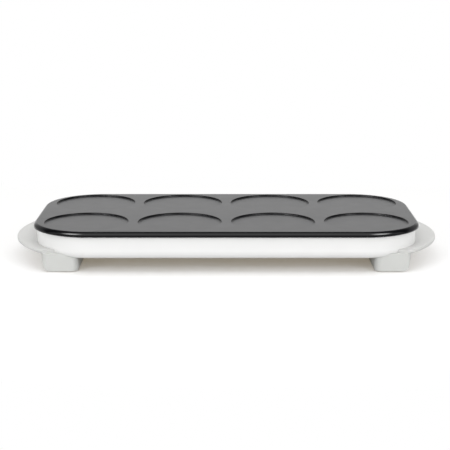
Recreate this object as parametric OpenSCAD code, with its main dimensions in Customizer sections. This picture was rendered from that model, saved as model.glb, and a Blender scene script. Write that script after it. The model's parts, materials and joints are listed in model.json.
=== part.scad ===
// Electric griddle with eight round pancake recesses.
// Lengths in millimetres. The origin is on the table under the middle of the griddle:
// X runs along the length, Y to the back and Z up.

/* [Cooking plate] */
// Diameter of one pancake recess at its wall
cup_d = 103; // [96:1:108]
// Web of metal between two neighbouring recesses
cup_gap = 12; // [10:0.5:18]
// Metal past the last recess at each end
end_margin = 15; // [13:0.5:16]
// Metal past the recesses at the front and back
side_margin = 9; // [7.5:0.5:14]
// Corner radius of the plate seen from above
plate_r = 73; // [64:1:78]
// Height of the edge band round the plate
rim_h = 6; // [4.5:0.1:7]
// How far the edge band flares out from its top to its foot
edge_run = 4.3; // [2:0.1:6]
// Turn of the edge band's curve from its foot to the deck, in degrees
edge_turn = 50; // [30:1:70]
// Height of the upright land at the foot of the edge band
edge_land = 0.4; // [0.2:0.1:1.5]
// Width of the rim that stands over the housing
rim_w = 14; // [13.5:0.1:16]
// Thickness of the deck between the recesses
deck_t = 4; // [3:0.1:5]
// Depth of a recess
cup_depth = 2; // [1.6:0.1:2.1]
// Metal under a recess
cup_floor_t = 3; // [2.4:0.1:3.1]
// Metal round a recess, seen from below
cup_wall = 3; // [2.4:0.1:4]
// Radius of the soft upper edge of a recess
cup_lip_r = 1.4; // [1.2:0.1:3.2]
// Share of the recess depth that the soft edge takes
cup_lip_share = 0.45; // [0.3:0.05:0.65]
// Fillet between the wall and the floor of a recess
cup_root_r = 0.8; // [0.4:0.1:1.4]

/* [Housing] */
// How far the plate hangs over the housing
overhang = 4; // [3:0.1:6]
// Height of the housing
housing_h = 27.5; // [26.5:0.1:30]
// Wall of the housing
housing_wall = 2.5; // [2:0.1:3]
// Radius of the rounded lower edge of the housing
housing_bottom_r = 11; // [8:0.5:13]
// Width of the flat flange under the housing
flange_w = 18; // [16:0.5:22]
// Width of the ledge that carries the seal
ledge_w = 5; // [4:0.1:6]
// Thickness of the seal between the plate and the housing
seal_t = 1.2; // [1:0.1:2]
// Height of the housing's underside over the table
ground_gap = 17.3; // [16:0.1:24]
// Sheet thickness of the base cover
cover_t = 1; // [0.8:0.1:1.5]
// Width of one vent slot in the base cover
vent_w = 4; // [3:0.5:5]
// Length of one vent slot in the base cover
vent_l = 36; // [24:1:44]
// Vent slots in one row
vent_count = 7; // [4:1:8]
// Distance from one vent slot to the next
vent_pitch = 11; // [9:0.5:12]

/* [Handles and feet] */
// How far a handle's tip stands out past the plate
handle_reach = 27; // [20:1:38]
// Radius of the handle's curved edge
handle_r = 150; // [140:1:180]
// Thickness of a handle
handle_t = 4; // [3:0.1:5]
// Height of the handle's underside over the housing's underside
handle_rise = 5.7; // [5:0.1:8]
// Rounding of the handle's edge
handle_edge_r = 1.4; // [0.6:0.1:1.5]
// Angle at which the handle's ends run back to the housing
handle_end_slope = 18; // [5:1:30]
// Width of the handle's tongue inside the housing
tongue_w = 84; // [60:1:100]
// Length of the handle's tongue inside the wall
tongue_l = 24; // [18:1:26]
// Length of a foot along the griddle
foot_l = 44; // [38:1:52]
// Depth of a foot from front to back
foot_w = 72; // [60:1:84]
// Distance from the plate's end to the outer side of a foot
foot_end_inset = 16; // [14:0.5:18]
// Distance from the plate's edge to the face of a foot
foot_face_inset = 12.5; // [11:0.5:15]
// Vertical corner radius of a foot
foot_r = 8; // [5:0.5:10]
// Radius of the outer lower corner of a foot
foot_toe_r = 8; // [4:0.5:9]
// Slope of the outer side of a foot, in degrees
foot_slope = 9; // [4:1:11]
// Height of the rubber pad that shows under a foot
pad_show = 1; // [0.8:0.1:2]
// Depth of the pad's pocket in a foot
pad_pocket = 1.2; // [1:0.1:2]
// Distance from the side of a foot to its pad
pad_inset = 4; // [3:0.5:6]

/* [Heating] */
// Diameter of the sheathed heating element
element_d = 6.6; // [6:0.1:7.2]
// Distance from the wall of a recess to a run of the element
run_inset = 26; // [25:0.5:29]
// Bend radius of the element's ends where they turn down
end_bend_r = 9; // [8:0.5:12]
// Distance of an element end from the middle of the griddle
end_x = 16; // [14:0.5:20]
// Length of a straight end below its bend
end_drop = 3; // [2:0.5:4]
// Diameter of a terminal pin
pin_d = 2.6; // [2:0.1:3]
// Length of a terminal pin that shows
pin_show = 6; // [5:0.5:7]
// Length of the strap that holds the element
strap_l = 22; // [21:0.5:26]
// Width of the strap that holds the element
strap_w = 9; // [8:0.5:12]
// Sheet thickness of the strap
strap_t = 1.2; // [1:0.1:1.5]
// How far the heat reflector tray reaches past the outer run of the element
reflector_side = 5; // [4:0.5:5.5]
// Gap between the ends of the heat reflector and the housing wall
reflector_end_gap = 12; // [10:0.5:16]
// Sheet thickness of the heat reflector
reflector_t = 0.8; // [0.6:0.1:1]
// Gap between the reflector's turned up edge and the strap screws over it
strap_gap = 0.5; // [0.3:0.1:0.8]
// Length of the lower spacer tubes
lower_spacer_h = 15.7; // [15:0.1:16.4]
// Outer diameter of the spacer tubes
spacer_d = 9; // [8:0.5:11]
// Length of the bosses that the spacer tubes meet
boss_drop = 7; // [6:0.1:7.5]

/* [Rear fittings] */
// Distance of the appliance inlet to the left of the middle
inlet_x = 44; // [40:1:60]
// Width of the inlet's well
well_w = 24.4; // [24:0.1:25]
// Height of the inlet's well
well_h = 15.6; // [15:0.1:15.8]
// Depth of the inlet's well
well_d = 16.5; // [15:0.1:17]
// Wall of the inlet
inlet_wall = 1.4; // [1:0.1:1.6]
// Thickness of the inlet's bezel
inlet_bezel_t = 2; // [1.5:0.1:2.5]
// Distance between the two screws of the inlet
inlet_screw_pitch = 40; // [38:0.5:42]
// Distance between the live and the neutral pin
blade_pitch = 14; // [13:0.5:15]
// Distance of the switch to the right of the middle
switch_x = 30; // [24:1:40]
// Length of the switch's window
window_l = 16.6; // [16:0.1:17.4]
// Height of the switch's window
window_h = 10.2; // [9.5:0.1:10.6]
// Wall of the switch
switch_wall = 1.3; // [1.1:0.1:1.5]
// Depth of the switch behind the housing's outer face
switch_depth = 16; // [15.5:0.1:17]
// Thickness of the switch's bezel
switch_bezel_t = 1.5; // [1.2:0.1:2]
// Angle from off to on
rocker_travel = 22; // [16:1:24]
// Diameter of the rocker's axle
axle_d = 2.4; // [2:0.1:2.8]
// Distance of the pilot lamp to the right of the middle
lamp_x = 62; // [54:1:76]
// Diameter of the pilot lamp's lens
lens_d = 8; // [7:0.1:9]

/* [Screws] */
// Diameter of the long plate screws
plate_screw_d = 4; // [3.5:0.1:5]
// Diameter of the other screws
screw_d = 3; // [2.5:0.1:3.2]
// Diameter of a small screw head
screw_head_d = 5.6; // [5:0.1:6]
// Height of a small screw head
screw_head_h = 2; // [1.5:0.1:2.2]

/* [Fits] */
// Gap between fixed pieces that slide together
fit = 0.2; // [0.1:0.05:0.3]
// Gap round an axle in its bore
axle_fit = 0.05; // [0.02:0.01:0.1]
// Gap between the element and what it touches
touch = 0.05; // [0.02:0.01:0.1]

/* [Hidden] */
$fn = 96;
// How far a cut runs past the surface it opens
eps = 0.5;
// How far a boss or rib is rooted in the wall that carries it
root = 1;
// Room past the tip of a screw in its hole
tip_gap = 1;

// Plate
cup_r = cup_d / 2;
pitch = cup_d + cup_gap;
cup_cols = 4;
plate_hx = (cup_cols * cup_d + (cup_cols - 1) * cup_gap) / 2 + end_margin;
plate_hy = cup_d + cup_gap / 2 + side_margin;
edge_steps = 10;
cups = [for (i = [-1.5 : 1 : 1.5], j = [-0.5, 0.5]) [i * pitch, j * pitch]];
posts = [for (i = [-1 : 1], j = [-0.5, 0.5]) [i * pitch, j * pitch]];

// Heights
z_base = ground_gap;
z_housing_top = z_base + housing_h;
z_rim = z_housing_top + seal_t;
z_top = z_rim + rim_h;
z_deck = z_top - deck_t;
z_cup = z_top - cup_depth;
z_bulge = z_cup - cup_floor_t;

// Housing
house_hx = plate_hx - overhang;
house_hy = plate_hy - overhang;
house_r = plate_r - overhang;
cover_inset = housing_bottom_r + 3;
boss_inset = housing_bottom_r + 8;
boss_r = screw_d / 2 + 2;
boss_h = 6;
cover_head_h = 1.3;
cover_screw_inset = housing_bottom_r + flange_w - 2 * boss_r;
cover_screw_places = [for (s = [-1, 1], x = [-1.3, 0, 1.3])
    [x * pitch, s * (house_hy - cover_screw_inset)]];
seal_inset = 1;
wall_in_hx = house_hx - housing_wall;

// Handles and feet
z_handle = z_base + handle_rise;
handle_tip = plate_hx + handle_reach;
foot_x1 = plate_hx - foot_end_inset;
foot_x0 = foot_x1 - foot_l;
foot_y1 = plate_hy - foot_face_inset;
foot_y0 = foot_y1 - foot_w;
tongue_screw_x = wall_in_hx - tongue_l / 2 - 2;
tongue_screw_y = tongue_w / 2 - 10;
foot_screw_inset = 12.5;
foot_screw_bosses = [[foot_x0 + foot_l / 4, house_hy - boss_inset],
    [foot_x1 - foot_screw_inset, max(foot_y0 + foot_w / 4, tongue_w / 2 + boss_r + 2 * root)]];
foot_head_z = z_base - cover_t - 5;
foot_head_gap = 0.5;

// Heating
z_element = z_bulge - element_d / 2 - touch;
z_strap = z_element - element_d / 2 - touch;
strap_boss = strap_l / 2 - 4;
run_off = cup_r - run_inset;
run_y = pitch / 2 - run_off;
end_turn_x = 1.5 * pitch;
inner_turn_x = pitch / 2;
z_element_end = z_element - end_bend_r - end_drop;
z_boss = z_deck - boss_drop;
post_wall = 1;
small_boss_r = screw_d / 2 + 1.9;
tapped_h = 6;
low_head_h = 1.6;
bead_d = element_d - 0.6;
bead_h = 4;
z_reflector = z_base + lower_spacer_h;
upper_spacer_h = z_boss - z_reflector - reflector_t;
reflector_hx = wall_in_hx - reflector_end_gap;
pin_y = run_y + 2 * run_off;
reflector_hy = pin_y + reflector_side;
reflector_rim = z_strap - strap_t - low_head_h - strap_gap - z_reflector - reflector_t;
strap_places = [for (s = [-1, 1], t = [-1, 1]) each
    [[s * pitch * 1.25, t * pin_y], [s * pitch * 0.75, t * run_y]]];
earth_place = [0, 0];
earth_boss_r = 5;
earth_hole_r = 9;

// Thermostat at the left crossing and fuse at the right crossing of the webs
thermostat_x = -pitch;
fuse_x = pitch;
thermostat_r = 8;
thermostat_h = 6;
thermostat_cap_h = 2;
thermostat_lug = 13;
thermostat_tab_x = 4;
thermostat_hole_r = thermostat_lug + 5;
bracket_t = 1;
lug_r = 4;
z_sensor = z_boss - 0.5;
z_bracket = z_sensor - thermostat_cap_h - bracket_t;
fuse_d = 3.8;
fuse_l = 11;
fuse_lead_d = 1;
fuse_lead_show = 2;
fuse_boss_r = 9;
sleeve_d = 5.4;
sleeve_l = 30;
clip_w = 7;
clip_t = 0.8;
clip_reach = 9.5;
clip_screw_y = 6;
fuse_wire_gap = 4;
fuse_wire_hole_r = 3;
z_fuse = z_sensor - sleeve_d / 2 - touch;

// Rear fittings
z_fittings = (z_housing_top + z_base) / 2 + 3;
y_wall = house_hy;
rear_cut = 2 * (housing_wall + ledge_w + 1);
y_well = y_wall + inlet_bezel_t - well_d;
y_inlet_back = y_well - 2;
blade_w = 4;
blade_t = 2;
blade_tip = 3;
earth_rise = 2.4;
phase_drop = 2;
blades = [[-blade_pitch / 2, -phase_drop], [blade_pitch / 2, -phase_drop], [0, earth_rise]];
inlet_margin = 4;
inlet_head_d = screw_head_d - 0.6;
inlet_head_h = 1.4;
tab_l = 6;
tab_t = 0.8;
tab_w = 4.8;

// Rocker switch: the axle lies behind the housing's face, and the lever rocks below the plunger
pivot_y = y_wall - 3;
y_bezel = y_wall + switch_bezel_t;
switch_lip = 1;
switch_back_t = 1.5;
y_switch_back = y_wall - switch_depth;
y_switch_floor = y_switch_back + switch_back_t;
rocker_l = window_l - 2.2;
rocker_h = window_h - 0.8;
rocker_tilt = rocker_travel / 2;
rocker_crown = 3.2;
rocker_back = 1.2;
stem_d = 3.8;
stem_l = 4.6;
plunger_d = 2;
plunger_l = 6.6;
lever_ratio = 0.5;
lever_y = pivot_y - 8.4;
lever_l = window_l - 4;
lever_t = 0.8;
lever_w = 4;
lever_pin_d = 1.2;
lever_contact_x = lever_l / 2 - 1.2;
contact_d = 2;
contact_h = 0.5;
contact_gap = 0.25;
contact_t = 0.6;
fork_t = 1;
fork_w = 3;
fork_z = window_h / 2 - 1.2;

// Pilot lamp
lens_wall = 1;
lens_flange_t = 1;
lens_dome_t = 0.8;
lens_tail = housing_wall + 2;
holder_l = 12;
holder_back = 2;
lamp_d = lens_d - 3;
lamp_l = holder_l - 3.2;
lead_x = 1.2;
lead_d = 0.6;
lead_show = 2;

// Wiring
wire_d = 2;
lamp_wire_d = 1.4;
wire_z = z_base + 6;
wire_low = z_base + housing_wall + wire_d / 2 + 0.5;
socket_drop = 5;
seat = [0, 0, touch];
stub = [0, 0, 1.6];
tail = [0.7, 0, 0];
pin_gap = 0.4;
socket_w = 3.6;
ring_t = 0.9;
inlet_end = y_inlet_back - tab_l / 2;
blade_z = z_fittings - phase_drop - blade_w / 2;
live_at = [-inlet_x + blade_pitch / 2, inlet_end, blade_z - socket_drop];
neutral_at = [-inlet_x - blade_pitch / 2, inlet_end, blade_z - socket_drop];
earth_at = [-inlet_x, inlet_end, z_fittings + earth_rise - blade_w / 2 - socket_drop];
switch_tab_y = y_switch_back - tab_l / 2;
switch_tab_z = z_fittings - tab_w / 2 - socket_drop;
switch_in = [switch_x, switch_tab_y, switch_tab_z];
switch_out = [switch_x + lever_contact_x, switch_tab_y, switch_tab_z];
pin_z = z_element_end - bead_h - pin_show;
thermostat_z = z_bracket - thermostat_h - tab_l - 1;
thermostat_in = [thermostat_x + thermostat_tab_x, 0, thermostat_z];
thermostat_out = [thermostat_x - thermostat_tab_x, 0, thermostat_z];
fuse_in = [fuse_x - sleeve_l / 2 - 2.4, 0, z_fuse];
fuse_out = [fuse_x + sleeve_l / 2 + 2.4, 0, z_fuse];
lamp_end_y = y_wall - housing_wall - 3 - holder_l - lead_show;
lamp_in = [lamp_x - lead_x, lamp_end_y, z_fittings];
lamp_out = [lamp_x + lead_x, lamp_end_y, z_fittings];

// Outline with four round corners
module rounded_rect(hx, hy, r) {
    square([2 * hx, 2 * (hy - r)], center = true);
    square([2 * (hx - r), 2 * hy], center = true);
    for (sx = [-1, 1], sy = [-1, 1])
        translate([sx * (hx - r), sy * (hy - r)]) circle(r);
}

module slab(hx, hy, r, z, t) {
    translate([0, 0, z]) linear_extrude(t) rounded_rect(hx, hy, r);
}

// Carries a wall profile round a rounded rectangle. In the profile x is the distance
// from the corner's centre, so x = r is the outline, and y is the height.
module ring_sweep(hx, hy, r) {
    for (k = [0 : 3]) {
        long_side = k % 2 == 0;
        reach = long_side ? hx - r : hy - r;
        run = long_side ? hy - r : hx - r;
        rotate([0, 0, 90 * k]) {
            translate([reach, 0, 0]) rotate([90, 0, 0])
                linear_extrude(2 * run, center = true) children();
            translate([reach, run, 0]) rotate_extrude(angle = 90) children();
        }
    }
}

// Round rod from one point to another
module rod(a, b, d) {
    v = b - a;
    l = norm(v);
    translate(a) rotate([0, acos(v.z / l), atan2(v.y, v.x)]) cylinder(d = d, h = l);
}

// Screw that points up, with its head under z = 0
module screw(d, l, head_d, head_h) {
    difference() {
        union() {
            cylinder(d = d, h = l);
            translate([0, 0, -head_h]) cylinder(d = head_d, h = head_h);
        }
        for (a = [0, 90]) rotate([0, 0, a])
            translate([0, 0, -head_h]) cube([head_d * 0.6, 0.8, head_h], center = true);
    }
}

module small_screw(l) {
    screw(screw_d, l, screw_head_d, screw_head_h);
}

// Smooth insulated wire through a few points
function unit(v) = v / norm(v);
function blend(a, b, c, d, t) = 0.5 * ((2 * b) + (c - a) * t + (2 * a - 5 * b + 4 * c - d) * t * t
    + (3 * b - a - 3 * c + d) * t * t * t);
function smooth(p, steps) = [for (i = [0 : len(p) - 2], k = [0 : steps - 1])
    blend(p[max(i - 1, 0)], p[i], p[i + 1], p[min(i + 2, len(p) - 1)], k / steps), p[len(p) - 1]];
function heading(p, i) = unit(p[min(i + 1, len(p) - 1)] - p[max(i - 1, 0)]);
function square_to(n, t) = unit(n - (n * t) * t);
function plug_end(at) = [at - seat, at - stub / 2, at - stub];
function plug_start(at) = [at - stub, at - stub / 2, at - seat];
function first_normal(t) = square_to(abs(t.z) < 0.8 ? [0, 0, 1] : [1, 0, 0], t);
function normals(p) = [for (i = 0, n = first_normal(heading(p, 0)); i < len(p);
    i = i + 1, n = i < len(p) ? square_to(n, heading(p, i)) : n) n];

module wire(points, d = wire_d, steps = 4, sides = 8) {
    path = smooth(points, steps);
    normal = normals(path);
    rings = [for (i = [0 : len(path) - 1], s = [0 : sides - 1])
        let (a = 360 * s / sides, side = cross(heading(path, i), normal[i]))
            path[i] + d / 2 * (cos(a) * normal[i] + sin(a) * side)];
    last = (len(path) - 1) * sides;
    skin = [for (i = [0 : len(path) - 2], s = [0 : sides - 1])
        let (a = i * sides, t = (s + 1) % sides) [a + s, a + sides + s, a + sides + t, a + t]];
    cap_a = [for (s = [0 : sides - 1]) s];
    cap_b = [for (s = [0 : sides - 1]) last + sides - 1 - s];
    polyhedron(rings, concat([cap_a], skin, [cap_b]));
}

// ---- Cooking plate ----

// Section of the rim: an upright land, and above it a quarter ellipse that leans in to the flat top
module rim_profile() {
    drop = rim_h - edge_land;
    curve = [for (i = [0 : edge_steps]) let (a = edge_turn * i / edge_steps)
        [plate_r - edge_run * (1 - cos(a)) / (1 - cos(edge_turn)),
            z_top - drop + drop * sin(a) / sin(edge_turn)]];
    polygon(concat([[plate_r - rim_w, z_rim], [plate_r, z_rim]], curve, [[plate_r - rim_w, z_top]]));
}

// Space of one recess, with a rounded floor edge and a soft upper edge
module cup_space() {
    lip_h = cup_depth * cup_lip_share;
    root_r = min(cup_root_r, cup_depth - lip_h);
    lip_w = cup_lip_r - sqrt(cup_lip_r * cup_lip_r - lip_h * lip_h);
    rotate_extrude() {
        square([cup_r - root_r, cup_depth + eps]);
        translate([0, root_r]) square([cup_r, cup_depth + eps - root_r]);
        translate([cup_r - root_r, root_r]) circle(root_r);
        difference() {
            translate([0, cup_depth - lip_h]) square([cup_r + lip_w, lip_h]);
            translate([cup_r + cup_lip_r, cup_depth - lip_h]) circle(cup_lip_r);
        }
    }
}

module grill_plate() {
    in = rim_w - root;
    color("#3b3b3e") difference() {
        union() {
            ring_sweep(plate_hx, plate_hy, plate_r) rim_profile();
            slab(plate_hx - in, plate_hy - in, plate_r - in, z_deck, deck_t);
            for (c = cups) translate([c.x, c.y, z_bulge])
                cylinder(r = cup_r + cup_wall, h = z_deck + deck_t / 2 - z_bulge);
            for (p = posts) translate([p.x, p.y, z_boss])
                cylinder(d = spacer_d + 2 * post_wall, h = z_deck + root - z_boss);
            for (p = strap_places, s = [-1, 1])
                translate([p.x, p.y + s * strap_boss, z_strap])
                    cylinder(r = small_boss_r, h = z_bulge + root - z_strap);
            translate([earth_place.x, earth_place.y, z_boss])
                cylinder(r = earth_boss_r, h = z_deck + root - z_boss);
            translate([thermostat_x, 0, z_sensor])
                cylinder(r = thermostat_r + post_wall, h = z_deck + root - z_sensor);
            for (s = [-1, 1]) translate([thermostat_x, s * thermostat_lug, z_sensor])
                cylinder(r = small_boss_r, h = z_deck + root - z_sensor);
            translate([fuse_x, 0, z_sensor]) cylinder(r = fuse_boss_r, h = z_deck + root - z_sensor);
        }
        for (c = cups) translate([c.x, c.y, z_cup]) cup_space();
        for (p = posts) translate([p.x, p.y, z_boss - eps])
            cylinder(d = plate_screw_d + fit, h = boss_drop + eps);
        for (p = strap_places, s = [-1, 1])
            translate([p.x, p.y + s * strap_boss, z_strap - eps])
                cylinder(d = screw_d + fit, h = tapped_h + eps);
        for (s = [-1, 1]) translate([thermostat_x, s * thermostat_lug, z_sensor - eps])
            cylinder(d = screw_d + fit, h = tapped_h + eps);
        translate([fuse_x, clip_screw_y, z_sensor - eps]) cylinder(d = screw_d + fit, h = tapped_h + eps);
        translate([earth_place.x, earth_place.y, z_boss - eps])
            cylinder(d = screw_d + fit, h = tapped_h + eps);
    }
}

module rim_seal() {
    seal_r = house_r - seal_inset;
    seal_w = ledge_w + housing_wall - 2 * seal_inset;
    color("#2a2a2b") ring_sweep(house_hx - seal_inset, house_hy - seal_inset, seal_r)
        translate([seal_r - seal_w, z_housing_top]) square([seal_w, seal_t]);
}

// ---- Housing and base ----

// Solid outline of the housing in section, from its flange to its outer face
module housing_section(grow) {
    r = house_r + grow;
    br = housing_bottom_r + grow;
    inner = house_r - housing_bottom_r - flange_w;
    translate([0, z_base - grow]) difference() {
        translate([inner, 0]) square([r - inner, housing_h + 2 * grow]);
        translate([r - br, br]) difference() {
            translate([0, -br - eps]) square(br + eps);
            circle(br);
        }
    }
}

module housing_profile() {
    inner_r = housing_bottom_r - housing_wall;
    wall_x = house_r - housing_wall;
    difference() {
        housing_section(0);
        translate([0, z_base + housing_wall]) difference() {
            square([wall_x, housing_h - 2 * housing_wall]);
            translate([wall_x - inner_r, inner_r]) difference() {
                translate([0, -inner_r - eps]) square(inner_r + eps);
                circle(inner_r);
            }
        }
        translate([0, z_base + housing_wall]) square([wall_x - ledge_w, housing_h]);
    }
}

module housing() {
    bosses = concat(cover_screw_places,
        [for (s = [-1, 1], t = [-1, 1], p = foot_screw_bosses) [s * p.x, t * p.y]]);
    color("#f4f4f4") difference() {
        union() {
            ring_sweep(house_hx, house_hy, house_r) housing_profile();
            for (p = bosses) translate([p.x, p.y, z_base + root])
                cylinder(r = boss_r, h = boss_h + tip_gap);
            for (s = [-1, 1], t = [-1, 1])
                translate([s * tongue_screw_x, t * tongue_screw_y, z_base + root])
                    cylinder(r = boss_r, h = z_handle + fit / 2 - z_base - root);
        }
        for (p = bosses) translate([p.x, p.y, z_base - eps]) cylinder(d = screw_d + fit, h = boss_h + eps);
        for (s = [-1, 1], t = [-1, 1])
            translate([s * tongue_screw_x, t * tongue_screw_y, z_base + 2 * root])
                cylinder(d = screw_d + fit, h = handle_rise);
        for (s = [-1, 1]) translate([s * house_hx, 0, z_handle + handle_t / 2])
            cube([6 * housing_wall, tongue_w + 2 * fit, handle_t + 2 * fit], center = true);
        translate([-inlet_x, y_wall, z_fittings])
            cube([well_w + 2 * inlet_wall + 2 * fit, rear_cut, well_h + 2 * inlet_wall + 2 * fit],
                center = true);
        for (s = [-1, 1]) translate([-inlet_x + s * inlet_screw_pitch / 2, y_wall, z_fittings])
            rotate([90, 0, 0]) cylinder(d = screw_d + fit, h = rear_cut, center = true);
        translate([switch_x, y_wall, z_fittings])
            cube([window_l + 2 * switch_wall + 2 * fit, rear_cut, window_h + 2 * switch_wall + 2 * fit],
                center = true);
        translate([lamp_x, y_wall, z_fittings])
            rotate([90, 0, 0]) cylinder(d = lens_d + 2 * fit, h = rear_cut, center = true);
    }
}

module base_cover() {
    color("#b9bcbe") difference() {
        slab(house_hx - cover_inset, house_hy - cover_inset, house_r - cover_inset,
            z_base - cover_t, cover_t);
        for (p = posts) translate([p.x, p.y, z_base - cover_t - eps])
            cylinder(d = plate_screw_d + 2 * fit, h = cover_t + 2 * eps);
        for (p = cover_screw_places) translate([p.x, p.y, z_base - cover_t - eps])
            cylinder(d = screw_d + 2 * fit, h = cover_t + 2 * eps);
        for (s = [-1, 1], t = [-1, 1], p = foot_screw_bosses)
            translate([s * p.x, t * p.y, z_base - cover_t - eps])
                cylinder(d = screw_d + 2 * fit, h = cover_t + 2 * eps);
        for (s = [-0.5, 0.5], i = [0 : vent_count - 1])
            translate([s * pitch + (i - (vent_count - 1) / 2) * vent_pitch, 0, z_base - cover_t / 2]) {
                cube([vent_w, vent_l - vent_w, cover_t + 2 * eps], center = true);
                for (e = [-1, 1]) translate([0, e * (vent_l - vent_w) / 2, 0])
                    cylinder(d = vent_w, h = cover_t + 2 * eps, center = true);
            }
    }
}

module cover_screws() {
    color("silver") for (p = cover_screw_places)
        translate([p.x, p.y, z_base - cover_t])
            screw(screw_d, cover_t + boss_h - tip_gap, screw_head_d, cover_head_h);
}

// ---- Handles ----

module handle_right() {
    round_r = min(handle_edge_r, handle_t / 2 - 0.1);
    hollow = housing_bottom_r + flange_w - eps;
    color("#cfcfcd") difference() {
        union() {
            difference() {
                intersection() {
                    translate([handle_tip - handle_r, 0, z_handle]) rotate_extrude() handle_section(round_r);
                    translate([foot_x0, -plate_hy, z_handle - eps])
                        cube([handle_tip, 2 * plate_hy, handle_t + 2 * eps]);
                }
                for (t = [0, 1]) mirror([0, t, 0]) translate([foot_x1, foot_y1, z_handle - 2 * eps])
                    rotate([0, 0, handle_end_slope]) translate([-plate_hy, 0, 0])
                        cube([2 * plate_hy, plate_hy, handle_t + 4 * eps]);
                ring_sweep(house_hx, house_hy, house_r) housing_section(fit);
                slab(house_hx - hollow, house_hy - hollow, house_r - hollow,
                    z_handle - 2 * eps, handle_t + 4 * eps);
            }
            translate([wall_in_hx - tongue_l, -tongue_w / 2, z_handle + fit])
                cube([tongue_l + 2 * housing_wall, tongue_w, handle_t - 2 * fit]);
        }
        for (t = [-1, 1]) translate([tongue_screw_x, t * tongue_screw_y, z_handle - eps])
            cylinder(d = screw_d + fit, h = handle_t + 2 * eps);
    }
}

// Section of the disc that the handle is cut from, with a round outer edge
module handle_section(round_r) {
    square([handle_r - round_r, handle_t]);
    translate([0, round_r]) square([handle_r, handle_t - 2 * round_r]);
    for (z = [round_r, handle_t - round_r]) translate([handle_r - round_r, z]) circle(round_r);
}

module handle_left() {
    mirror([1, 0, 0]) handle_right();
}

module handle_screws() {
    color("silver") for (s = [-1, 1], t = [-1, 1])
        translate([s * tongue_screw_x, t * tongue_screw_y, z_handle + handle_t - fit])
            rotate([180, 0, 0]) small_screw(handle_t + handle_rise - 2 * root - fit - 0.5 * tip_gap);
}

// ---- Feet ----

// Front view of the foot at the right: its outer side slopes and ends in a round toe
module foot_front_view() {
    c = cos(foot_slope);
    s = sin(foot_slope);
    toe_x = foot_x1 - (foot_toe_r + (z_handle - pad_show - foot_toe_r) * s) / c;
    translate([0, pad_show]) {
        polygon([[foot_x0, 0], [toe_x, 0], [toe_x + foot_toe_r * c, foot_toe_r - foot_toe_r * s],
            [foot_x1, z_handle - pad_show], [foot_x0, z_handle - pad_show]]);
        translate([toe_x, foot_toe_r]) circle(foot_toe_r);
    }
}

module foot(sx, sy) {
    mid = [(foot_x0 + foot_x1) / 2, (foot_y0 + foot_y1) / 2];
    mirror([sx < 0 ? 1 : 0, 0, 0]) mirror([0, sy < 0 ? 1 : 0, 0]) color("#d6d8d2") difference() {
        intersection() {
            translate([0, foot_y1 + eps, 0]) rotate([90, 0, 0])
                linear_extrude(foot_w + 2 * eps) foot_front_view();
            translate([mid.x, mid.y, 0])
                linear_extrude(z_handle) rounded_rect(foot_l / 2, foot_w / 2, foot_r);
        }
        ring_sweep(house_hx, house_hy, house_r) housing_section(fit / 2);
        slab(house_hx - cover_inset + fit, house_hy - cover_inset + fit, house_r - cover_inset + fit,
            z_base - cover_t, 2 * cover_t + handle_rise);
        translate([mid.x, mid.y, 0]) linear_extrude(pad_show + pad_pocket) pad_outline(fit);
        for (p = foot_screw_bosses) translate([p.x, p.y, 0]) {
            cylinder(d = screw_head_d + 2 * foot_head_gap, h = foot_head_z);
            cylinder(d = screw_d + 2 * fit, h = z_base);
        }
    }
}

module pad_outline(grow) {
    inset = pad_inset + foot_toe_r / 2;
    rounded_rect(foot_l / 2 - inset + grow, foot_w / 2 - inset + grow, foot_r / 2 + grow);
}

module pad(sx, sy) {
    color("#8b8d8a") translate([sx * (foot_x0 + foot_x1) / 2, sy * (foot_y0 + foot_y1) / 2, 0])
        linear_extrude(pad_show + pad_pocket) pad_outline(0);
}

module foot_screws() {
    color("silver") for (s = [-1, 1], t = [-1, 1], p = foot_screw_bosses)
        translate([s * p.x, t * p.y, foot_head_z]) small_screw(z_base + boss_h - foot_head_z - tip_gap);
}

// ---- Heating element and reflector ----

// Half turn of the element about its centre, from the angle a
module element_turn(x, y, r, a) {
    translate([x, y, z_element]) rotate([0, 0, a])
        rotate_extrude(angle = 180) translate([r, 0]) circle(d = element_d);
}

module element_run(x0, x1, y) {
    rod([x0, y, z_element], [x1, y, z_element], element_d);
}

module element_half() {
    element_run(end_x + end_bend_r, end_turn_x, pin_y);
    element_turn(end_turn_x, pitch / 2, run_off, -90);
    element_run(inner_turn_x, end_turn_x, run_y);
    element_turn(inner_turn_x, 0, run_y, 90);
    element_run(inner_turn_x, end_turn_x, -run_y);
    element_turn(end_turn_x, -pitch / 2, run_off, -90);
    element_run(0, end_turn_x, -pin_y);
    translate([end_x + end_bend_r, pin_y, z_element - end_bend_r]) rotate([90, 0, 0]) rotate([0, 0, 90])
        rotate_extrude(angle = 90) translate([end_bend_r, 0]) circle(d = element_d);
    rod([end_x, pin_y, z_element_end], [end_x, pin_y, z_element - end_bend_r], element_d);
}

module heating_element() {
    color("#7d7468") {
        element_half();
        mirror([1, 0, 0]) element_half();
    }
}

module element_beads() {
    color("ivory") for (s = [-1, 1]) translate([s * end_x, pin_y, z_element_end - bead_h])
        difference() {
            cylinder(d = bead_d, h = bead_h);
            translate([0, 0, -eps]) cylinder(d = pin_d + 2 * touch, h = bead_h + 2 * eps);
        }
}

module element_pins() {
    color("silver") for (s = [-1, 1])
        translate([s * end_x, pin_y, z_element_end - bead_h - pin_show])
            cylinder(d = pin_d, h = bead_h + pin_show);
}

module element_straps() {
    color("#9a9a98") for (p = strap_places) translate([p.x, p.y, z_strap - strap_t]) difference() {
        translate([-strap_w / 2, -strap_l / 2, 0]) cube([strap_w, strap_l, strap_t]);
        for (s = [-1, 1]) translate([0, s * strap_boss, -eps])
            cylinder(d = screw_d + fit, h = strap_t + 2 * eps);
    }
}

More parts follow.
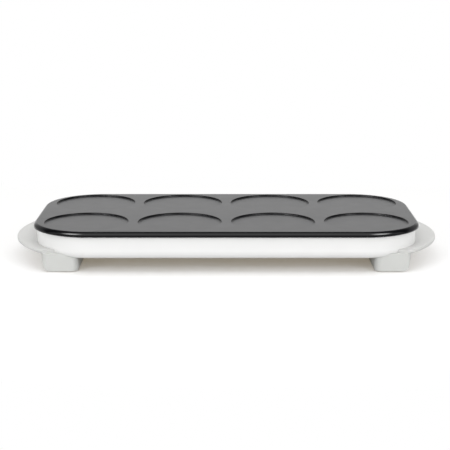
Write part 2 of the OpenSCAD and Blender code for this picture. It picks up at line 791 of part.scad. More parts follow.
module strap_screws() {
    color("silver") for (p = strap_places, s = [-1, 1])
        translate([p.x, p.y + s * strap_boss, z_strap - strap_t])
            screw(screw_d, strap_t + tapped_h - tip_gap, screw_head_d, low_head_h);
}

module heat_reflector() {
    r = house_r - reflector_end_gap - housing_wall;
    reflector_gap = 0.6;
    color("#c9ccce") difference() {
        slab(reflector_hx, reflector_hy, r, z_reflector, reflector_t + reflector_rim);
        slab(reflector_hx - reflector_t, reflector_hy - reflector_t, r - reflector_t,
            z_reflector + reflector_t, reflector_rim + eps);
        for (p = posts) translate([p.x, p.y, z_reflector - eps])
            cylinder(d = plate_screw_d + 2 * fit, h = reflector_t + 2 * eps);
        for (s = [-1, 1]) translate([s * end_x, pin_y, z_reflector - eps])
            cylinder(d = element_d + 2 * reflector_gap, h = reflector_t + 2 * eps);
        translate([thermostat_x, 0, z_reflector - eps])
            cylinder(r = thermostat_hole_r, h = reflector_t + 2 * eps);
        translate([earth_place.x, earth_place.y, z_reflector - eps])
            cylinder(r = earth_hole_r, h = reflector_t + 2 * eps);
        for (s = [-1, 1]) translate([fuse_x + s * (sleeve_l / 2 + fuse_wire_gap), 0, z_reflector - eps])
            cylinder(r = fuse_wire_hole_r, h = reflector_t + 2 * eps);
    }
}

module tube_spacers(z, h) {
    color("#8f9294") for (p = posts) translate([p.x, p.y, z]) difference() {
        cylinder(d = spacer_d, h = h);
        translate([0, 0, -eps]) cylinder(d = plate_screw_d + 2 * fit, h = h + 2 * eps);
    }
}

module upper_spacers() {
    tube_spacers(z_reflector + reflector_t, upper_spacer_h);
}

module lower_spacers() {
    tube_spacers(z_base, lower_spacer_h);
}

module plate_screws() {
    reach = cover_t + lower_spacer_h + reflector_t + upper_spacer_h + boss_drop - tip_gap;
    color("silver") for (p = posts) translate([p.x, p.y, z_base - cover_t])
        screw(plate_screw_d, reach, 1.9 * plate_screw_d, 0.65 * plate_screw_d);
}

// ---- Thermostat, fuse and earth ----

module thermostat_cap() {
    color("silver") translate([thermostat_x, 0, z_sensor - thermostat_cap_h])
        cylinder(r = thermostat_r, h = thermostat_cap_h);
}

module thermostat_body() {
    color("#2c2623") translate([thermostat_x, 0, z_bracket - thermostat_h])
        cylinder(r = thermostat_r - 1, h = thermostat_h + z_sensor - thermostat_cap_h - z_bracket);
}

// Flat bracket round the thermostat, held at both lugs
module thermostat_bracket() {
    color("#a7aaac") translate([thermostat_x, 0, z_bracket]) difference() {
        union() {
            cylinder(r = thermostat_r + bracket_t, h = bracket_t);
            translate([-lug_r, -thermostat_lug, 0]) cube([2 * lug_r, 2 * thermostat_lug, bracket_t]);
            for (s = [-1, 1]) translate([0, s * thermostat_lug, 0])
                cylinder(r = lug_r, h = z_sensor - z_bracket);
        }
        translate([0, 0, -eps]) cylinder(r = thermostat_r - 1 + touch, h = bracket_t + 2 * eps);
        translate([0, 0, bracket_t]) cylinder(r = thermostat_r + touch, h = thermostat_cap_h + eps);
        for (s = [-1, 1]) translate([0, s * thermostat_lug, -eps])
            cylinder(d = screw_d + fit, h = thermostat_cap_h + bracket_t + 2 * eps);
    }
}

module thermostat_screws() {
    color("silver") for (s = [-1, 1]) translate([thermostat_x, s * thermostat_lug, z_bracket])
        screw(screw_d, z_sensor - z_bracket + tapped_h - tip_gap, screw_head_d, low_head_h);
}

module thermostat_tabs() {
    color("#c8a24a") for (s = [-1, 1])
        translate([thermostat_x + s * thermostat_tab_x, 0, z_bracket - thermostat_h - tab_l / 2])
            cube([tab_t, tab_w, tab_l], center = true);
}

module fuse_sleeve() {
    color("#e8e2c8") translate([fuse_x, 0, z_fuse]) rotate([0, 90, 0]) difference() {
        cylinder(d = sleeve_d, h = sleeve_l, center = true);
        cylinder(d = fuse_d + 2 * touch, h = sleeve_l + 2 * eps, center = true);
    }
}

module thermal_fuse() {
    color("#b8893a") translate([fuse_x, 0, z_fuse]) rotate([0, 90, 0]) {
        cylinder(d = fuse_d, h = fuse_l, center = true);
        cylinder(d = fuse_lead_d, h = sleeve_l + 2 * fuse_lead_show, center = true);
    }
}

// Saddle over the sleeve with one screw at its foot
module fuse_clip() {
    inner_r = sleeve_d / 2 + touch;
    outer_r = inner_r + clip_t;
    cut_w = clip_w + 2 * eps;
    color("#9a9a98") translate([fuse_x, 0, 0]) difference() {
        union() {
            translate([-clip_w / 2, 0, z_fuse]) rotate([0, 90, 0]) cylinder(r = outer_r, h = clip_w);
            translate([-clip_w / 2, 0, z_sensor - clip_t]) cube([clip_w, clip_reach, clip_t]);
            translate([-clip_w / 2, -outer_r, z_fuse]) cube([clip_w, 2 * outer_r, z_sensor - z_fuse]);
        }
        translate([-cut_w / 2, 0, z_fuse]) rotate([0, 90, 0]) cylinder(r = inner_r, h = cut_w);
        translate([-cut_w / 2, -inner_r, z_fuse]) cube([cut_w, 2 * inner_r, z_sensor - z_fuse + eps]);
        translate([-cut_w / 2, -clip_reach, z_sensor]) cube([cut_w, 2 * clip_reach, outer_r]);
        translate([0, clip_screw_y, z_sensor - clip_t - eps])
            cylinder(d = screw_d + fit, h = clip_t + 2 * eps);
    }
}

module fuse_clip_screw() {
    color("silver") translate([fuse_x, clip_screw_y, z_sensor - clip_t])
        screw(screw_d, clip_t + tapped_h - tip_gap, 2 * (clip_reach - clip_screw_y) - 2.8, low_head_h);
}

module earth_screw() {
    color("#c8a24a") translate([earth_place.x, earth_place.y, z_boss - ring_t - touch])
        screw(screw_d, tapped_h, screw_head_d, screw_head_h);
}

// ---- Appliance inlet ----

module inlet_body() {
    color("#26262a") translate([-inlet_x, 0, z_fittings]) difference() {
        union() {
            translate([-well_w / 2 - inlet_wall, y_inlet_back, -well_h / 2 - inlet_wall])
                cube([well_w + 2 * inlet_wall, y_wall - y_inlet_back + eps, well_h + 2 * inlet_wall]);
            translate([0, y_wall, 0]) rotate([-90, 0, 0]) linear_extrude(inlet_bezel_t)
                rounded_rect(inlet_screw_pitch / 2 + inlet_margin, well_h / 2 + inlet_wall + fit + 0.4, 3);
        }
        translate([-well_w / 2, y_well, -well_h / 2]) cube([well_w, well_d + eps, well_h]);
        for (s = [-1, 1]) translate([s * inlet_screw_pitch / 2, y_wall - eps, 0])
            rotate([-90, 0, 0]) cylinder(d = screw_d + fit, h = inlet_bezel_t + 2 * eps);
        for (b = blades) translate([b.x, (y_inlet_back + y_well) / 2, b.y])
            cube([blade_t + fit, y_well - y_inlet_back + 2 * eps, blade_w + fit], center = true);
    }
}

module inlet_pins() {
    blade_end = y_well + well_d - blade_tip;
    color("silver") for (b = blades)
        translate([-inlet_x + b.x - blade_t / 2, y_inlet_back - tab_l, z_fittings + b.y - blade_w / 2])
            cube([blade_t, blade_end - y_inlet_back + tab_l, blade_w]);
}

module inlet_screws() {
    color("silver") for (s = [-1, 1])
        translate([-inlet_x + s * inlet_screw_pitch / 2, y_wall + inlet_bezel_t, z_fittings])
            rotate([90, 0, 0])
                screw(screw_d, inlet_bezel_t + housing_wall + 3, inlet_head_d, inlet_head_h);
}

// ---- Rocker switch ----

module switch_body() {
    color("#1d1d1f") translate([switch_x, 0, z_fittings]) difference() {
        union() {
            translate([-window_l / 2 - switch_wall, y_switch_back, -window_h / 2 - switch_wall])
                cube([window_l + 2 * switch_wall, y_wall - y_switch_back + eps, window_h + 2 * switch_wall]);
            translate([0, y_wall, 0]) rotate([-90, 0, 0]) linear_extrude(switch_bezel_t)
                rounded_rect(window_l / 2 + switch_wall + switch_lip, window_h / 2 + switch_wall + switch_lip,
                    switch_lip + fit);
        }
        translate([-window_l / 2, y_switch_floor, -window_h / 2])
            cube([window_l, y_bezel - y_switch_floor + eps, window_h]);
        translate([0, pivot_y, 0])
            cylinder(d = axle_d + 2 * axle_fit, h = window_h + 4 * switch_wall, center = true);
        for (x = [0, lever_contact_x]) translate([x, y_switch_back + switch_back_t / 2, 0])
            cube([tab_t + fit, switch_back_t + 2 * eps, tab_w + fit], center = true);
    }
}

// Rocker in its own frame: the axle is at the origin and the outside is towards +Y
module rocker_shape() {
    half = rocker_l / 2;
    rise = half * tan(rocker_tilt);
    linear_extrude(rocker_h, center = true)
        polygon([[-half, -rocker_back], [half, -rocker_back], [half, rocker_crown + rise], [0, rocker_crown],
            [-half, rocker_crown + rise]]);
    cylinder(d = axle_d, h = window_h + 2 * switch_wall - 0.4, center = true);
    rotate([90, 0, 0]) cylinder(d = stem_d, h = stem_l);
}

// Places a piece of the rocker with the switch off
module at_rocker() {
    translate([switch_x, pivot_y, z_fittings]) rotate([0, 0, -rocker_tilt]) children();
}

module switch_rocker() {
    color("#b3261e") at_rocker() difference() {
        rocker_shape();
        rotate([90, 0, 0]) cylinder(d = plunger_d + 2 * touch, h = stem_l + eps);
    }
}

module switch_plunger() {
    color("#c8a24a") at_rocker() rotate([90, 0, 0]) {
        cylinder(d = plunger_d, h = plunger_l);
        translate([0, 0, plunger_l]) sphere(d = plunger_d - 2 * touch);
    }
}

// Contact lever that rocks on its own pin below the plunger
module switch_lever() {
    color("#b87333") translate([switch_x, lever_y, z_fittings]) rotate([0, 0, lever_ratio * rocker_tilt]) {
        translate([-lever_l / 2, -lever_t / 2, -lever_w / 2]) cube([lever_l, lever_t, lever_w]);
        cylinder(d = lever_pin_d, h = 2 * fork_z + fork_t, center = true);
        translate([lever_contact_x, -lever_t / 2, 0]) rotate([90, 0, 0])
            cylinder(d = contact_d, h = contact_h);
    }
}

// Two terminals: the first carries the lever in a fork, the second the fixed contact
module switch_tabs() {
    swing = (lever_contact_x + contact_d / 2) * sin(lever_ratio * rocker_tilt);
    y_contact = lever_y - lever_t / 2 - contact_h - swing - contact_gap + 0.1;
    slot_w = lever_pin_d + 2 * touch;
    color("#c8a24a") translate([switch_x, 0, z_fittings]) {
        translate([-tab_t / 2, y_switch_back - tab_l, -tab_w / 2])
            cube([tab_t, y_switch_floor - y_switch_back + tab_l + fit, tab_w]);
        for (s = [-1, 1]) translate([0, 0, s * fork_z]) difference() {
            translate([-fork_w / 2, y_switch_floor, -fork_t / 2])
                cube([fork_w, lever_y - y_switch_floor + eps, fork_t]);
            translate([0, lever_y, 0]) cylinder(d = slot_w, h = 2 * fork_t, center = true);
            translate([-slot_w / 2, lever_y, -fork_t]) cube([slot_w, fork_w, 2 * fork_t]);
        }
        translate([-fork_w / 2, y_switch_floor, -fork_z]) cube([fork_w, tab_t, 2 * fork_z]);
        translate([lever_contact_x - tab_t / 2, y_switch_back - tab_l, -tab_w / 2])
            cube([tab_t, y_contact - y_switch_back + tab_l, tab_w]);
        translate([lever_contact_x - 1.5 * tab_t, y_contact - contact_t, -tab_w / 2])
            cube([3 * tab_t, contact_t, tab_w]);
    }
}

// ---- Pilot lamp ----

module pilot_lens() {
    color("#e04a1a") translate([lamp_x, y_wall, z_fittings]) rotate([-90, 0, 0]) {
        cylinder(r = lens_d / 2 + lens_wall, h = lens_flange_t);
        translate([0, 0, lens_flange_t])
            cylinder(r1 = lens_d / 2 + lens_wall / 2, r2 = lens_d / 2 - lens_wall, h = lens_dome_t);
        translate([0, 0, -lens_tail]) difference() {
            cylinder(d = lens_d, h = lens_tail);
            translate([0, 0, -eps]) cylinder(d = lens_d - 2 * lens_wall, h = lens_tail);
        }
    }
}

module pilot_holder() {
    color("#efe9dc") translate([lamp_x, y_wall - lens_tail, z_fittings]) rotate([90, 0, 0]) difference() {
        cylinder(d = lens_d, h = holder_l);
        translate([0, 0, -eps]) cylinder(d = lens_d - 2 * lens_wall, h = holder_l - holder_back + eps);
        for (s = [-1, 1]) translate([s * lead_x, 0, 0]) cylinder(d = lead_d + 2 * fit, h = holder_l + eps);
    }
}

module pilot_lamp() {
    color("#ffc9a0") translate([lamp_x, y_wall - housing_wall - 3, z_fittings]) rotate([90, 0, 0]) {
        cylinder(d = lamp_d, h = lamp_l);
        for (s = [-1, 1]) translate([s * lead_x, 0, 0]) cylinder(d = lead_d, h = holder_l + lead_show);
    }
}

// ---- Internal wiring ----

// From the inlet's live pin to the switch
module wire_live_in() {
    color("saddlebrown") wire(concat(plug_end(live_at), [[live_at.x + 5, inlet_end - 4, wire_low],
        [0, pin_y + 3.4, wire_low], [switch_x - 6, inlet_end - 3, wire_low]], plug_start(switch_in)));
}

// From the switch to the thermostat
module wire_live_switched() {
    start = switch_out - [0, wire_d / 2 + 0.15, 0];
    color("saddlebrown") wire(concat(plug_end(start), [[start.x - 4, start.y - 4, wire_low + 1],
        [end_x + 4, pin_y - 6, wire_z + 0.5], [0, pin_y - 13, wire_z], [-pitch / 2, run_y, wire_z],
        [thermostat_x + 14, 4, wire_z - 1], thermostat_in]));
}

// From the thermostat to the fuse
module wire_live_fuse() {
    color("saddlebrown") wire([thermostat_out, [thermostat_x - 4, -14, wire_z - 1],
        [-pitch / 2, -run_y, wire_z], [pitch / 2, -run_y, wire_z], [fuse_in.x - 7, -6, wire_z + 3],
        [fuse_in.x - 3, 0, z_reflector], fuse_in - 2 * tail, fuse_in - tail, fuse_in]);
}

// From the fuse to one end of the element
module wire_live_element() {
    color("saddlebrown") wire([fuse_out, fuse_out + tail, fuse_out + 2 * tail,
        [fuse_out.x + 3, 0, z_reflector], [fuse_out.x, 12, wire_z + 2],
        [fuse_x - 10, run_y + 8, wire_z], [end_x + 30, pin_y - 13, wire_z],
        [end_x + 8, pin_y - 3, pin_z - 1], [end_x, pin_y - 1, pin_z - 1]]);
}

// From the inlet's neutral pin to the other end of the element
module wire_neutral() {
    color("steelblue") wire(concat(plug_end(neutral_at), [[neutral_at.x - 3, inlet_end - 6, wire_low],
        [-inlet_x - 2, pin_y - 7, wire_low], [-end_x - 10, pin_y - 6, pin_z - 1],
        [-end_x, pin_y - 1, pin_z - 1]]));
}

// From the inlet's earth pin to the screw under the plate
module wire_earth() {
    color("yellowgreen") wire(concat(plug_end(earth_at), [[earth_at.x - 4, inlet_end - 6, wire_z],
        [-inlet_x + 4, pin_y - 23, wire_z + 4], [-end_x, 14, wire_z + 5], [-4, 5, z_reflector + 0.4],
        [-1, 6, z_boss - 3], [0, 5.2, z_boss - 0.6]]));
}

// From the switch to the pilot lamp
module wire_lamp_live() {
    start = switch_out + [0, lamp_wire_d / 2 + 0.5, 0];
    color("saddlebrown") wire(concat(plug_end(start), [[start.x + 5, start.y - 4, wire_low + 0.5],
        [lamp_x - 10, switch_tab_y - 8, wire_z], [lamp_x - 1.4, lamp_end_y - 5, z_fittings - 4],
        lamp_in]), lamp_wire_d);
}

// From the pilot lamp to the side of the element's neutral pin
module wire_lamp_neutral() {
    side = [-end_x + pin_d / 2 + lamp_wire_d / 2 + pin_gap, pin_y, pin_z + 3.6];
    color("steelblue") wire([side, side - stub / 2, side - stub, [-end_x + 8, pin_y - 5, wire_z],
        [end_x, pin_y - 13, wire_z + 3], [lamp_x + 4, pin_y - 7, wire_z + 3],
        [lamp_x + 2, lamp_end_y - 5, z_fittings - 4], lamp_out], lamp_wire_d);
}

// Flat push-on socket at the end of a wire
module wire_socket(at, width) {
    l = tab_l - 1.5;
    translate([at.x - width / 2, at.y - l / 2, at.z]) cube([width, l, socket_drop]);
}

module wire_sockets() {
    color("#c8a24a") {
        for (p = [live_at, neutral_at, earth_at]) wire_socket(p, socket_w);
        for (p = [switch_in, switch_out]) wire_socket(p, socket_w * 2 / 3);
        translate([earth_place.x, earth_place.y, z_boss - ring_t - touch / 2]) difference() {
            cylinder(r = screw_d / 2 + 2.3, h = ring_t);
            translate([0, 0, -eps]) cylinder(d = screw_d + fit, h = ring_t + 2 * eps);
        }
    }
}

grill_plate();
rim_seal();
housing();
base_cover();
heat_reflector();
handle_left();
handle_right();
foot(-1, -1);  // foot_front_left
foot(1, -1);  // foot_front_right
foot(-1, 1);  // foot_rear_left
foot(1, 1);  // foot_rear_right
pad(-1, -1);  // pad_front_left
pad(1, -1);  // pad_front_right
pad(-1, 1);  // pad_rear_left
pad(1, 1);  // pad_rear_right
heating_element();
element_pins();
element_beads();
element_straps();
strap_screws();
upper_spacers();
lower_spacers();
plate_screws();
cover_screws();
foot_screws();
handle_screws();
thermostat_body();
thermostat_cap();
thermostat_bracket();
thermostat_screws();
thermostat_tabs();
thermal_fuse();
fuse_sleeve();
fuse_clip();
fuse_clip_screw();
earth_screw();
inlet_body();
inlet_pins();
inlet_screws();
switch_body();
switch_rocker();
switch_plunger();
switch_lever();
switch_tabs();
pilot_lens();
pilot_lamp();
pilot_holder();
wire_live_in();
wire_live_switched();
wire_live_fuse();
wire_live_element();
wire_neutral();
wire_earth();
wire_lamp_live();
wire_lamp_neutral();
wire_sockets();
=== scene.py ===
# %% [markdown]
# # Electric griddle with eight pancake recesses
#
# The griddle is a low table-top appliance: a die-cast plate with a dark non-stick coating stands on a
# glossy white housing, with a flat grey handle at each end and four block feet. The construction comes
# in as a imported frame, already to scale and in place. The scene could be modelled from nothing, but it
# would drift from the construction. So the lesson starts from the frame, gives each piece the shape, the
# rounding and the finish that the eye sees, and keeps every piece on the body that carries it.

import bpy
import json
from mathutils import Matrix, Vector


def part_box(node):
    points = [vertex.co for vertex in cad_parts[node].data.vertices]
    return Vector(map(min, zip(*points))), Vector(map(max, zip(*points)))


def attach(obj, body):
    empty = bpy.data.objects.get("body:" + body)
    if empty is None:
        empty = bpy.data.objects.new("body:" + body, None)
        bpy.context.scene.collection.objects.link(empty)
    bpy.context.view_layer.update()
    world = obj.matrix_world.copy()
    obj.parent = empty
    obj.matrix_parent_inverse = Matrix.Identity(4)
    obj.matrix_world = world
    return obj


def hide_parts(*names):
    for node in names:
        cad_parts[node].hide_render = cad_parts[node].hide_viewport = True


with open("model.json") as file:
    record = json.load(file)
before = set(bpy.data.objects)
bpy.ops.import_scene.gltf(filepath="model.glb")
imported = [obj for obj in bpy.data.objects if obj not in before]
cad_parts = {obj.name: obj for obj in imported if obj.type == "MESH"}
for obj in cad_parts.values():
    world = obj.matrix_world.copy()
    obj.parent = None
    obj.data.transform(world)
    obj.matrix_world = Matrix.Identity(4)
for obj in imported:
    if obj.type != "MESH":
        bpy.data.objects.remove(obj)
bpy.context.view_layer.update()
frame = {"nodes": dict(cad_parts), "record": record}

import json
import math

import bmesh
import bpy
from mathutils import Vector

MM = 0.001
nodes = frame["nodes"]

# %% [markdown]
# ## The camera
#
# Product pictures of flat appliances are taken from a low angle with a long lens, which keeps the two
# long edges nearly parallel. The camera stands one and a half metres in front of the middle, a third of
# a metre above the plate, and looks down at about thirteen degrees. A constraint could aim it, but a
# place and one angle are enough for a camera that looks straight along Y, and they stay readable.

# %% Camera
SENSOR_WIDTH_MM = 36.0
LENS_MM = 97.1
CAMERA_SIDEWAYS = -0.0004
CAMERA_BACK = 1.5178
CAMERA_ABOVE_PLATE = 0.3286
LOOKS_DOWN_DEGREES = 12.85
FRAME_SHIFT = -0.0022

_, plate_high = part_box("grill_plate")
camera_data = bpy.data.cameras.new("camera")
camera_data.sensor_width = SENSOR_WIDTH_MM
camera_data.lens = LENS_MM
camera_data.shift_x = FRAME_SHIFT
camera = bpy.data.objects.new("camera", camera_data)
bpy.context.scene.collection.objects.link(camera)
camera.location = (CAMERA_SIDEWAYS, -CAMERA_BACK, plate_high.z + CAMERA_ABOVE_PLATE)
camera.rotation_euler = (math.radians(90 - LOOKS_DOWN_DEGREES), 0.0, 0.0)
bpy.context.scene.camera = camera
bpy.context.scene.view_settings.view_transform = "Standard"
print("camera", [round(v, 3) for v in camera.location])

# %% [markdown]
# ## Colours and nodes
#
# Colours could be typed as the linear values that the renderer works in, but nobody can picture those.
# They are written as sRGB hex codes instead, as a colour picker shows them, and one function turns them
# to linear. Nodes could be wired by hand in the editor. One small function does it here: its settings
# are given by name, and each input takes either a value or the output of another node.

# %% Colour from a hex code
def srgb(code):
    """Linear colour with alpha from an sRGB hex code."""
    parts = [int(code[i:i + 2], 16) / 255 for i in (1, 3, 5)]
    linear = [c / 12.92 if c <= 0.04045 else ((c + 0.055) / 1.055) ** 2.4 for c in parts]
    return (*linear, 1.0)


print("mid grey in linear values:", [round(value, 3) for value in srgb("#808080")])

# %% One node with its inputs
def add(tree, kind, inputs=None, **settings):
    """One node with its settings, and its inputs set or linked."""
    node = tree.nodes.new(kind)
    for name, value in settings.items():
        setattr(node, name, value)
    for name, value in (inputs or {}).items():
        if isinstance(value, bpy.types.NodeSocket):
            tree.links.new(value, node.inputs[name])
        else:
            node.inputs[name].default_value = value
    return node


print("node helper ready")

# %% [markdown]
# ## What every material shares
#
# A material starts as an empty tree with one shader, and with the place of a point on the piece in
# metres. Patterns could follow a UV map, but reading the place needs none, and it keeps every grain at
# its real size in millimetres. The pieces sit at the origin, so a pattern doesn't slide on them.
#
# Real surfaces vary in three ways that the eye reads at once: in tone, in gloss and in height. So one
# function leads the shader's colour, roughness and bump by patterns. What is the same all over a surface
# is set on the shader itself.

# %% Start of a material
def start_material(name):
    """An empty material with its tree, its shader and the place of a point in metres."""
    material = bpy.data.materials.new(name)
    material.use_nodes = True
    tree = material.node_tree
    tree.nodes.clear()
    shader = add(tree, "ShaderNodeBsdfPrincipled")
    add(tree, "ShaderNodeOutputMaterial", {"Surface": shader.outputs["BSDF"]})
    return material, tree, shader, add(tree, "ShaderNodeTexCoord").outputs["Object"]


print("material start ready")

# %% Patterns
EVEN = (1, 1, 1)
CLOUD_DETAIL = 3


def grain(tree, place, size_mm, detail=2.0, stretch=EVEN):
    """Noise whose patches are about size_mm across."""
    moved = add(tree, "ShaderNodeMapping", {"Vector": place, "Scale": stretch}).outputs["Vector"]
    noise = add(tree, "ShaderNodeTexNoise", {"Vector": moved, "Scale": 1 / (size_mm * MM), "Detail": detail})
    return noise.outputs["Fac"]


def lead(tree, shader, tones=None, rough=None, bump=None):
    """Leads a shader by patterns from 0 to 1.

    tones is a pattern and two colours, rough a pattern and two values, and bump a pattern and its
    depth in millimetres. Colours and values may also be the outputs of other nodes.
    """
    if tones:
        first, second = [srgb(tone) if isinstance(tone, str) else tone for tone in tones[1:]]
        mix = add(tree, "ShaderNodeMix", {0: tones[0], 6: first, 7: second}, data_type="RGBA")
        tree.links.new(mix.outputs[2], shader.inputs["Base Color"])
    if rough:
        between = add(tree, "ShaderNodeMapRange", {"Value": rough[0], "To Min": rough[1], "To Max": rough[2]})
        tree.links.new(between.outputs["Result"], shader.inputs["Roughness"])
    if bump:
        relief = add(tree, "ShaderNodeBump", {"Height": bump[0], "Distance": bump[1] * MM, "Strength": 1.0})
        tree.links.new(relief.outputs["Normal"], shader.inputs["Normal"])


finishes = {}
print("patterns ready")

# %% [markdown]
# ## The non-stick coating
#
# The cooking plate is die-cast aluminium, grit-blasted and sprayed with a dark fluoropolymer that is
# baked on. It is nearly black when looked at straight on, and turns mid grey at a low angle, because
# a smooth coating reflects the bright room there. That shift could be painted in with Layer Weight,
# but it is left to the shader's own reflection, with the low IOR of a filled fluoropolymer, so that it
# is right from every side and under every light.
#
# The cooking face is blasted, recess walls and all, and looks satin. The band round the edge isn't, so
# it is glossier. Steep faces take a darker colour: painted shade, which deepens the recess walls and the
# band. The surface's own normal tells level from steep, and the distance from the corners' centres tells
# the band from the recess walls. The blasting leaves specks of a tenth of a millimetre. They are drawn
# 0.8 mm across, because finer ones wouldn't show.

# %% Level, steep and band
PLATE_CORNER = 73 * MM
BAND_STARTS = PLATE_CORNER - 7 * MM
BAND_FULL = PLATE_CORNER - 5 * MM
STEEP_NORMAL = 0.75
LEVEL_NORMAL = 0.98


def level_share(tree):
    """One on level faces and zero on steep ones."""
    normal = add(tree, "ShaderNodeNewGeometry").outputs["Normal"]
    upward = add(tree, "ShaderNodeSeparateXYZ", {0: normal}).outputs["Z"]
    return add(tree, "ShaderNodeMapRange", {"Value": upward, "From Min": STEEP_NORMAL,
                                            "From Max": LEVEL_NORMAL}).outputs["Result"]


def reach_past_corners(tree, place):
    """Distance of a point past the lines that join the centres of the plate's round corners."""
    # Taking a metre off the height keeps it out of the distance.
    corner_centre = (plate_high.x - PLATE_CORNER, plate_high.y - PLATE_CORNER, 1)
    point = add(tree, "ShaderNodeVectorMath", {0: place}, operation="ABSOLUTE").outputs["Vector"]
    for operation, other in (("SUBTRACT", corner_centre), ("MAXIMUM", (0, 0, 0))):
        point = add(tree, "ShaderNodeVectorMath", {0: point, 1: other}, operation=operation).outputs["Vector"]
    return add(tree, "ShaderNodeVectorMath", {0: point}, operation="LENGTH").outputs["Value"]


print("band from", round(BAND_STARTS / MM), "to", round(PLATE_CORNER / MM), "mm past the corners' centres")

# %% Non-stick coating
COATING_IOR = 1.38
BAND_ROUGHNESS = 0.09
WALL_ROUGHNESS = 0.3
LEVEL_ROUGHNESS = (0.27, 0.32)
COATING_CLOUD_MM = 18
CLOUD_SHARES = (0.2, 0.8)
SPECK_MM = 0.8
SPECK_DEPTH_MM = 0.006


def baked_nonstick_coating(name):
    """Satin on level faces and recess walls, and glossier on the band."""
    material, tree, shader, place = start_material(name)
    clouds = grain(tree, place, COATING_CLOUD_MM, CLOUD_DETAIL)
    specks = grain(tree, place, SPECK_MM)
    level = level_share(tree)
    soft, satin = [add(tree, "ShaderNodeMapRange", {"Value": clouds, "To Min": low,
                                                    "To Max": high}).outputs["Result"]
                   for low, high in (CLOUD_SHARES, LEVEL_ROUGHNESS)]
    blasted = add(tree, "ShaderNodeMix", {0: soft, 6: srgb("#161618"), 7: srgb("#1c1c1e")},
                  data_type="RGBA").outputs[2]
    steep = add(tree, "ShaderNodeMapRange", {"Value": reach_past_corners(tree, place),
                                             "From Min": BAND_STARTS, "From Max": BAND_FULL,
                                             "To Min": WALL_ROUGHNESS,
                                             "To Max": BAND_ROUGHNESS}).outputs["Result"]
    height = add(tree, "ShaderNodeMath", {0: specks, 1: level}, operation="MULTIPLY").outputs[0]
    # Steep faces take the darker #0f0f11: painted shade on the recess walls and the band.
    lead(tree, shader, (level, "#0f0f11", blasted), (level, steep, satin), (height, SPECK_DEPTH_MM))
    shader.inputs["IOR"].default_value = COATING_IOR
    return material


finishes["nonstick_plate"] = baked_nonstick_coating("baked non-stick coating on cast aluminium")
print("coating ready, plate half", [round(v / MM) for v in plate_high.xy], "mm")

# %% [markdown]
# ## Moulded plastics
#
# Housing, handles and feet are injection moulded. The housing comes from a polished mould, so it is
# glossy with the faintest waviness. Handles, feet and small fittings come from spark-eroded moulds,
# which leave a fine matt grain. A picture of the grain could be wrapped round each piece, but it would
# stretch at the corners, and noise in the piece's own space has no seams. So one recipe makes them all:
# two close tones in large clouds, a grain that moves the roughness a little, and the same grain as bump.
# A real eroded grain is 0.1 mm or finer. It is drawn 0.5 mm across or more, so that it shows at all.

# %% Moulded plastics
PLASTIC_CLOUD_MM = 30
ROUGHNESS_PLAY = 0.05


def moulded_plastic(name, light, dark, rough, grain_mm, depth_mm, ior=1.5):
    """Two close tones, and an even grain in gloss and height."""
    material, tree, shader, place = start_material(name)
    clouds = grain(tree, place, PLASTIC_CLOUD_MM)
    texture = grain(tree, place, grain_mm)
    lead(tree, shader, (clouds, light, dark), (texture, rough - ROUGHNESS_PLAY, rough + ROUGHNESS_PLAY),
         (texture, depth_mm))
    shader.inputs["IOR"].default_value = ior
    return material


# Soft gloss with slow waves, as on a polished moulding.
finishes["housing_plastic"] = moulded_plastic(
    "white ABS, polished mould", "#f6f6f5", "#f2f2f1", 0.24, 3.0, 0.006)
# Even matt grey: the grain takes the reflections away.
finishes["handle_plastic"] = moulded_plastic(
    "light grey ABS, eroded mould", "#d5d5d3", "#cfcfcd", 0.5, 0.5, 0.02)
finishes["foot_plastic"] = moulded_plastic(
    "light grey ABS feet, eroded mould", "#d5d6d3", "#cfd0cd", 0.5, 0.5, 0.02)
# Dull and soft to the eye, with a coarser skin.
finishes["pad_rubber"] = moulded_plastic("grey silicone rubber", "#8a8c8a", "#7f817f", 0.7, 0.8, 0.03)
# Matt black round the inlet and the switch.
finishes["fitting_plastic"] = moulded_plastic("black polyamide", "#222225", "#1c1c1f", 0.45, 0.5, 0.02)
# The rocker is the one polished and strongly coloured piece.
finishes["rocker_plastic"] = moulded_plastic(
    "red polycarbonate, polished", "#a81f16", "#9c1a12", 0.2, 2.0, 0.004)
# Brown and slightly mottled, as filled resins are.
finishes["phenolic"] = moulded_plastic("brown phenolic moulding", "#3a2a22", "#2c201b", 0.45, 0.8, 0.02)
# Undyed polyamide is a warm ivory.
finishes["holder_plastic"] = moulded_plastic("natural polyamide", "#ece4d4", "#e4dbc9", 0.4, 0.8, 0.02)
# Silicone insulation is satin and plain.
finishes["wire_brown"] = moulded_plastic("brown silicone insulation", "#5c3420", "#522d1b", 0.5, 0.6, 0.01)
finishes["wire_blue"] = moulded_plastic("blue silicone insulation", "#33619e", "#2c5890", 0.5, 0.6, 0.01)
# Unglazed ceramic is chalky, with a little more reflection at its edges from the higher IOR.
finishes["bead_ceramic"] = moulded_plastic("unglazed steatite", "#f0eee2", "#e6e2d3", 0.6, 0.6, 0.02, 1.6)
print(len(finishes), "finishes so far")

# %% [markdown]
# ## Metals
#
# The sheet parts are rolled and plated, the turned parts carry fine rings, and the element's steel
# sheath is stained brown by its first heating. Rolled looks are often made with the shader's Anisotropic
# setting, which draws out the highlights but shows no lines from close by. So all of them share one
# recipe: a metal colour in two tones, and a grain in gloss and height, which is stretched where the
# metal was rolled, drawn or turned. Real lines are a few hundredths of a millimetre wide. They are drawn
# 0.3 to 0.5 mm wide, because finer ones would run together.

# %% Metals
METAL_ROUGHNESS_PLAY = 0.08
METAL_CLOUD_MM = 9
METAL_CLOUD_SHARES = (0.1, 0.9)
ALONG_X = (0.08, 1, 1)
ALONG_Z = (1, 1, 0.08)
RINGS = (1, 1, 6)


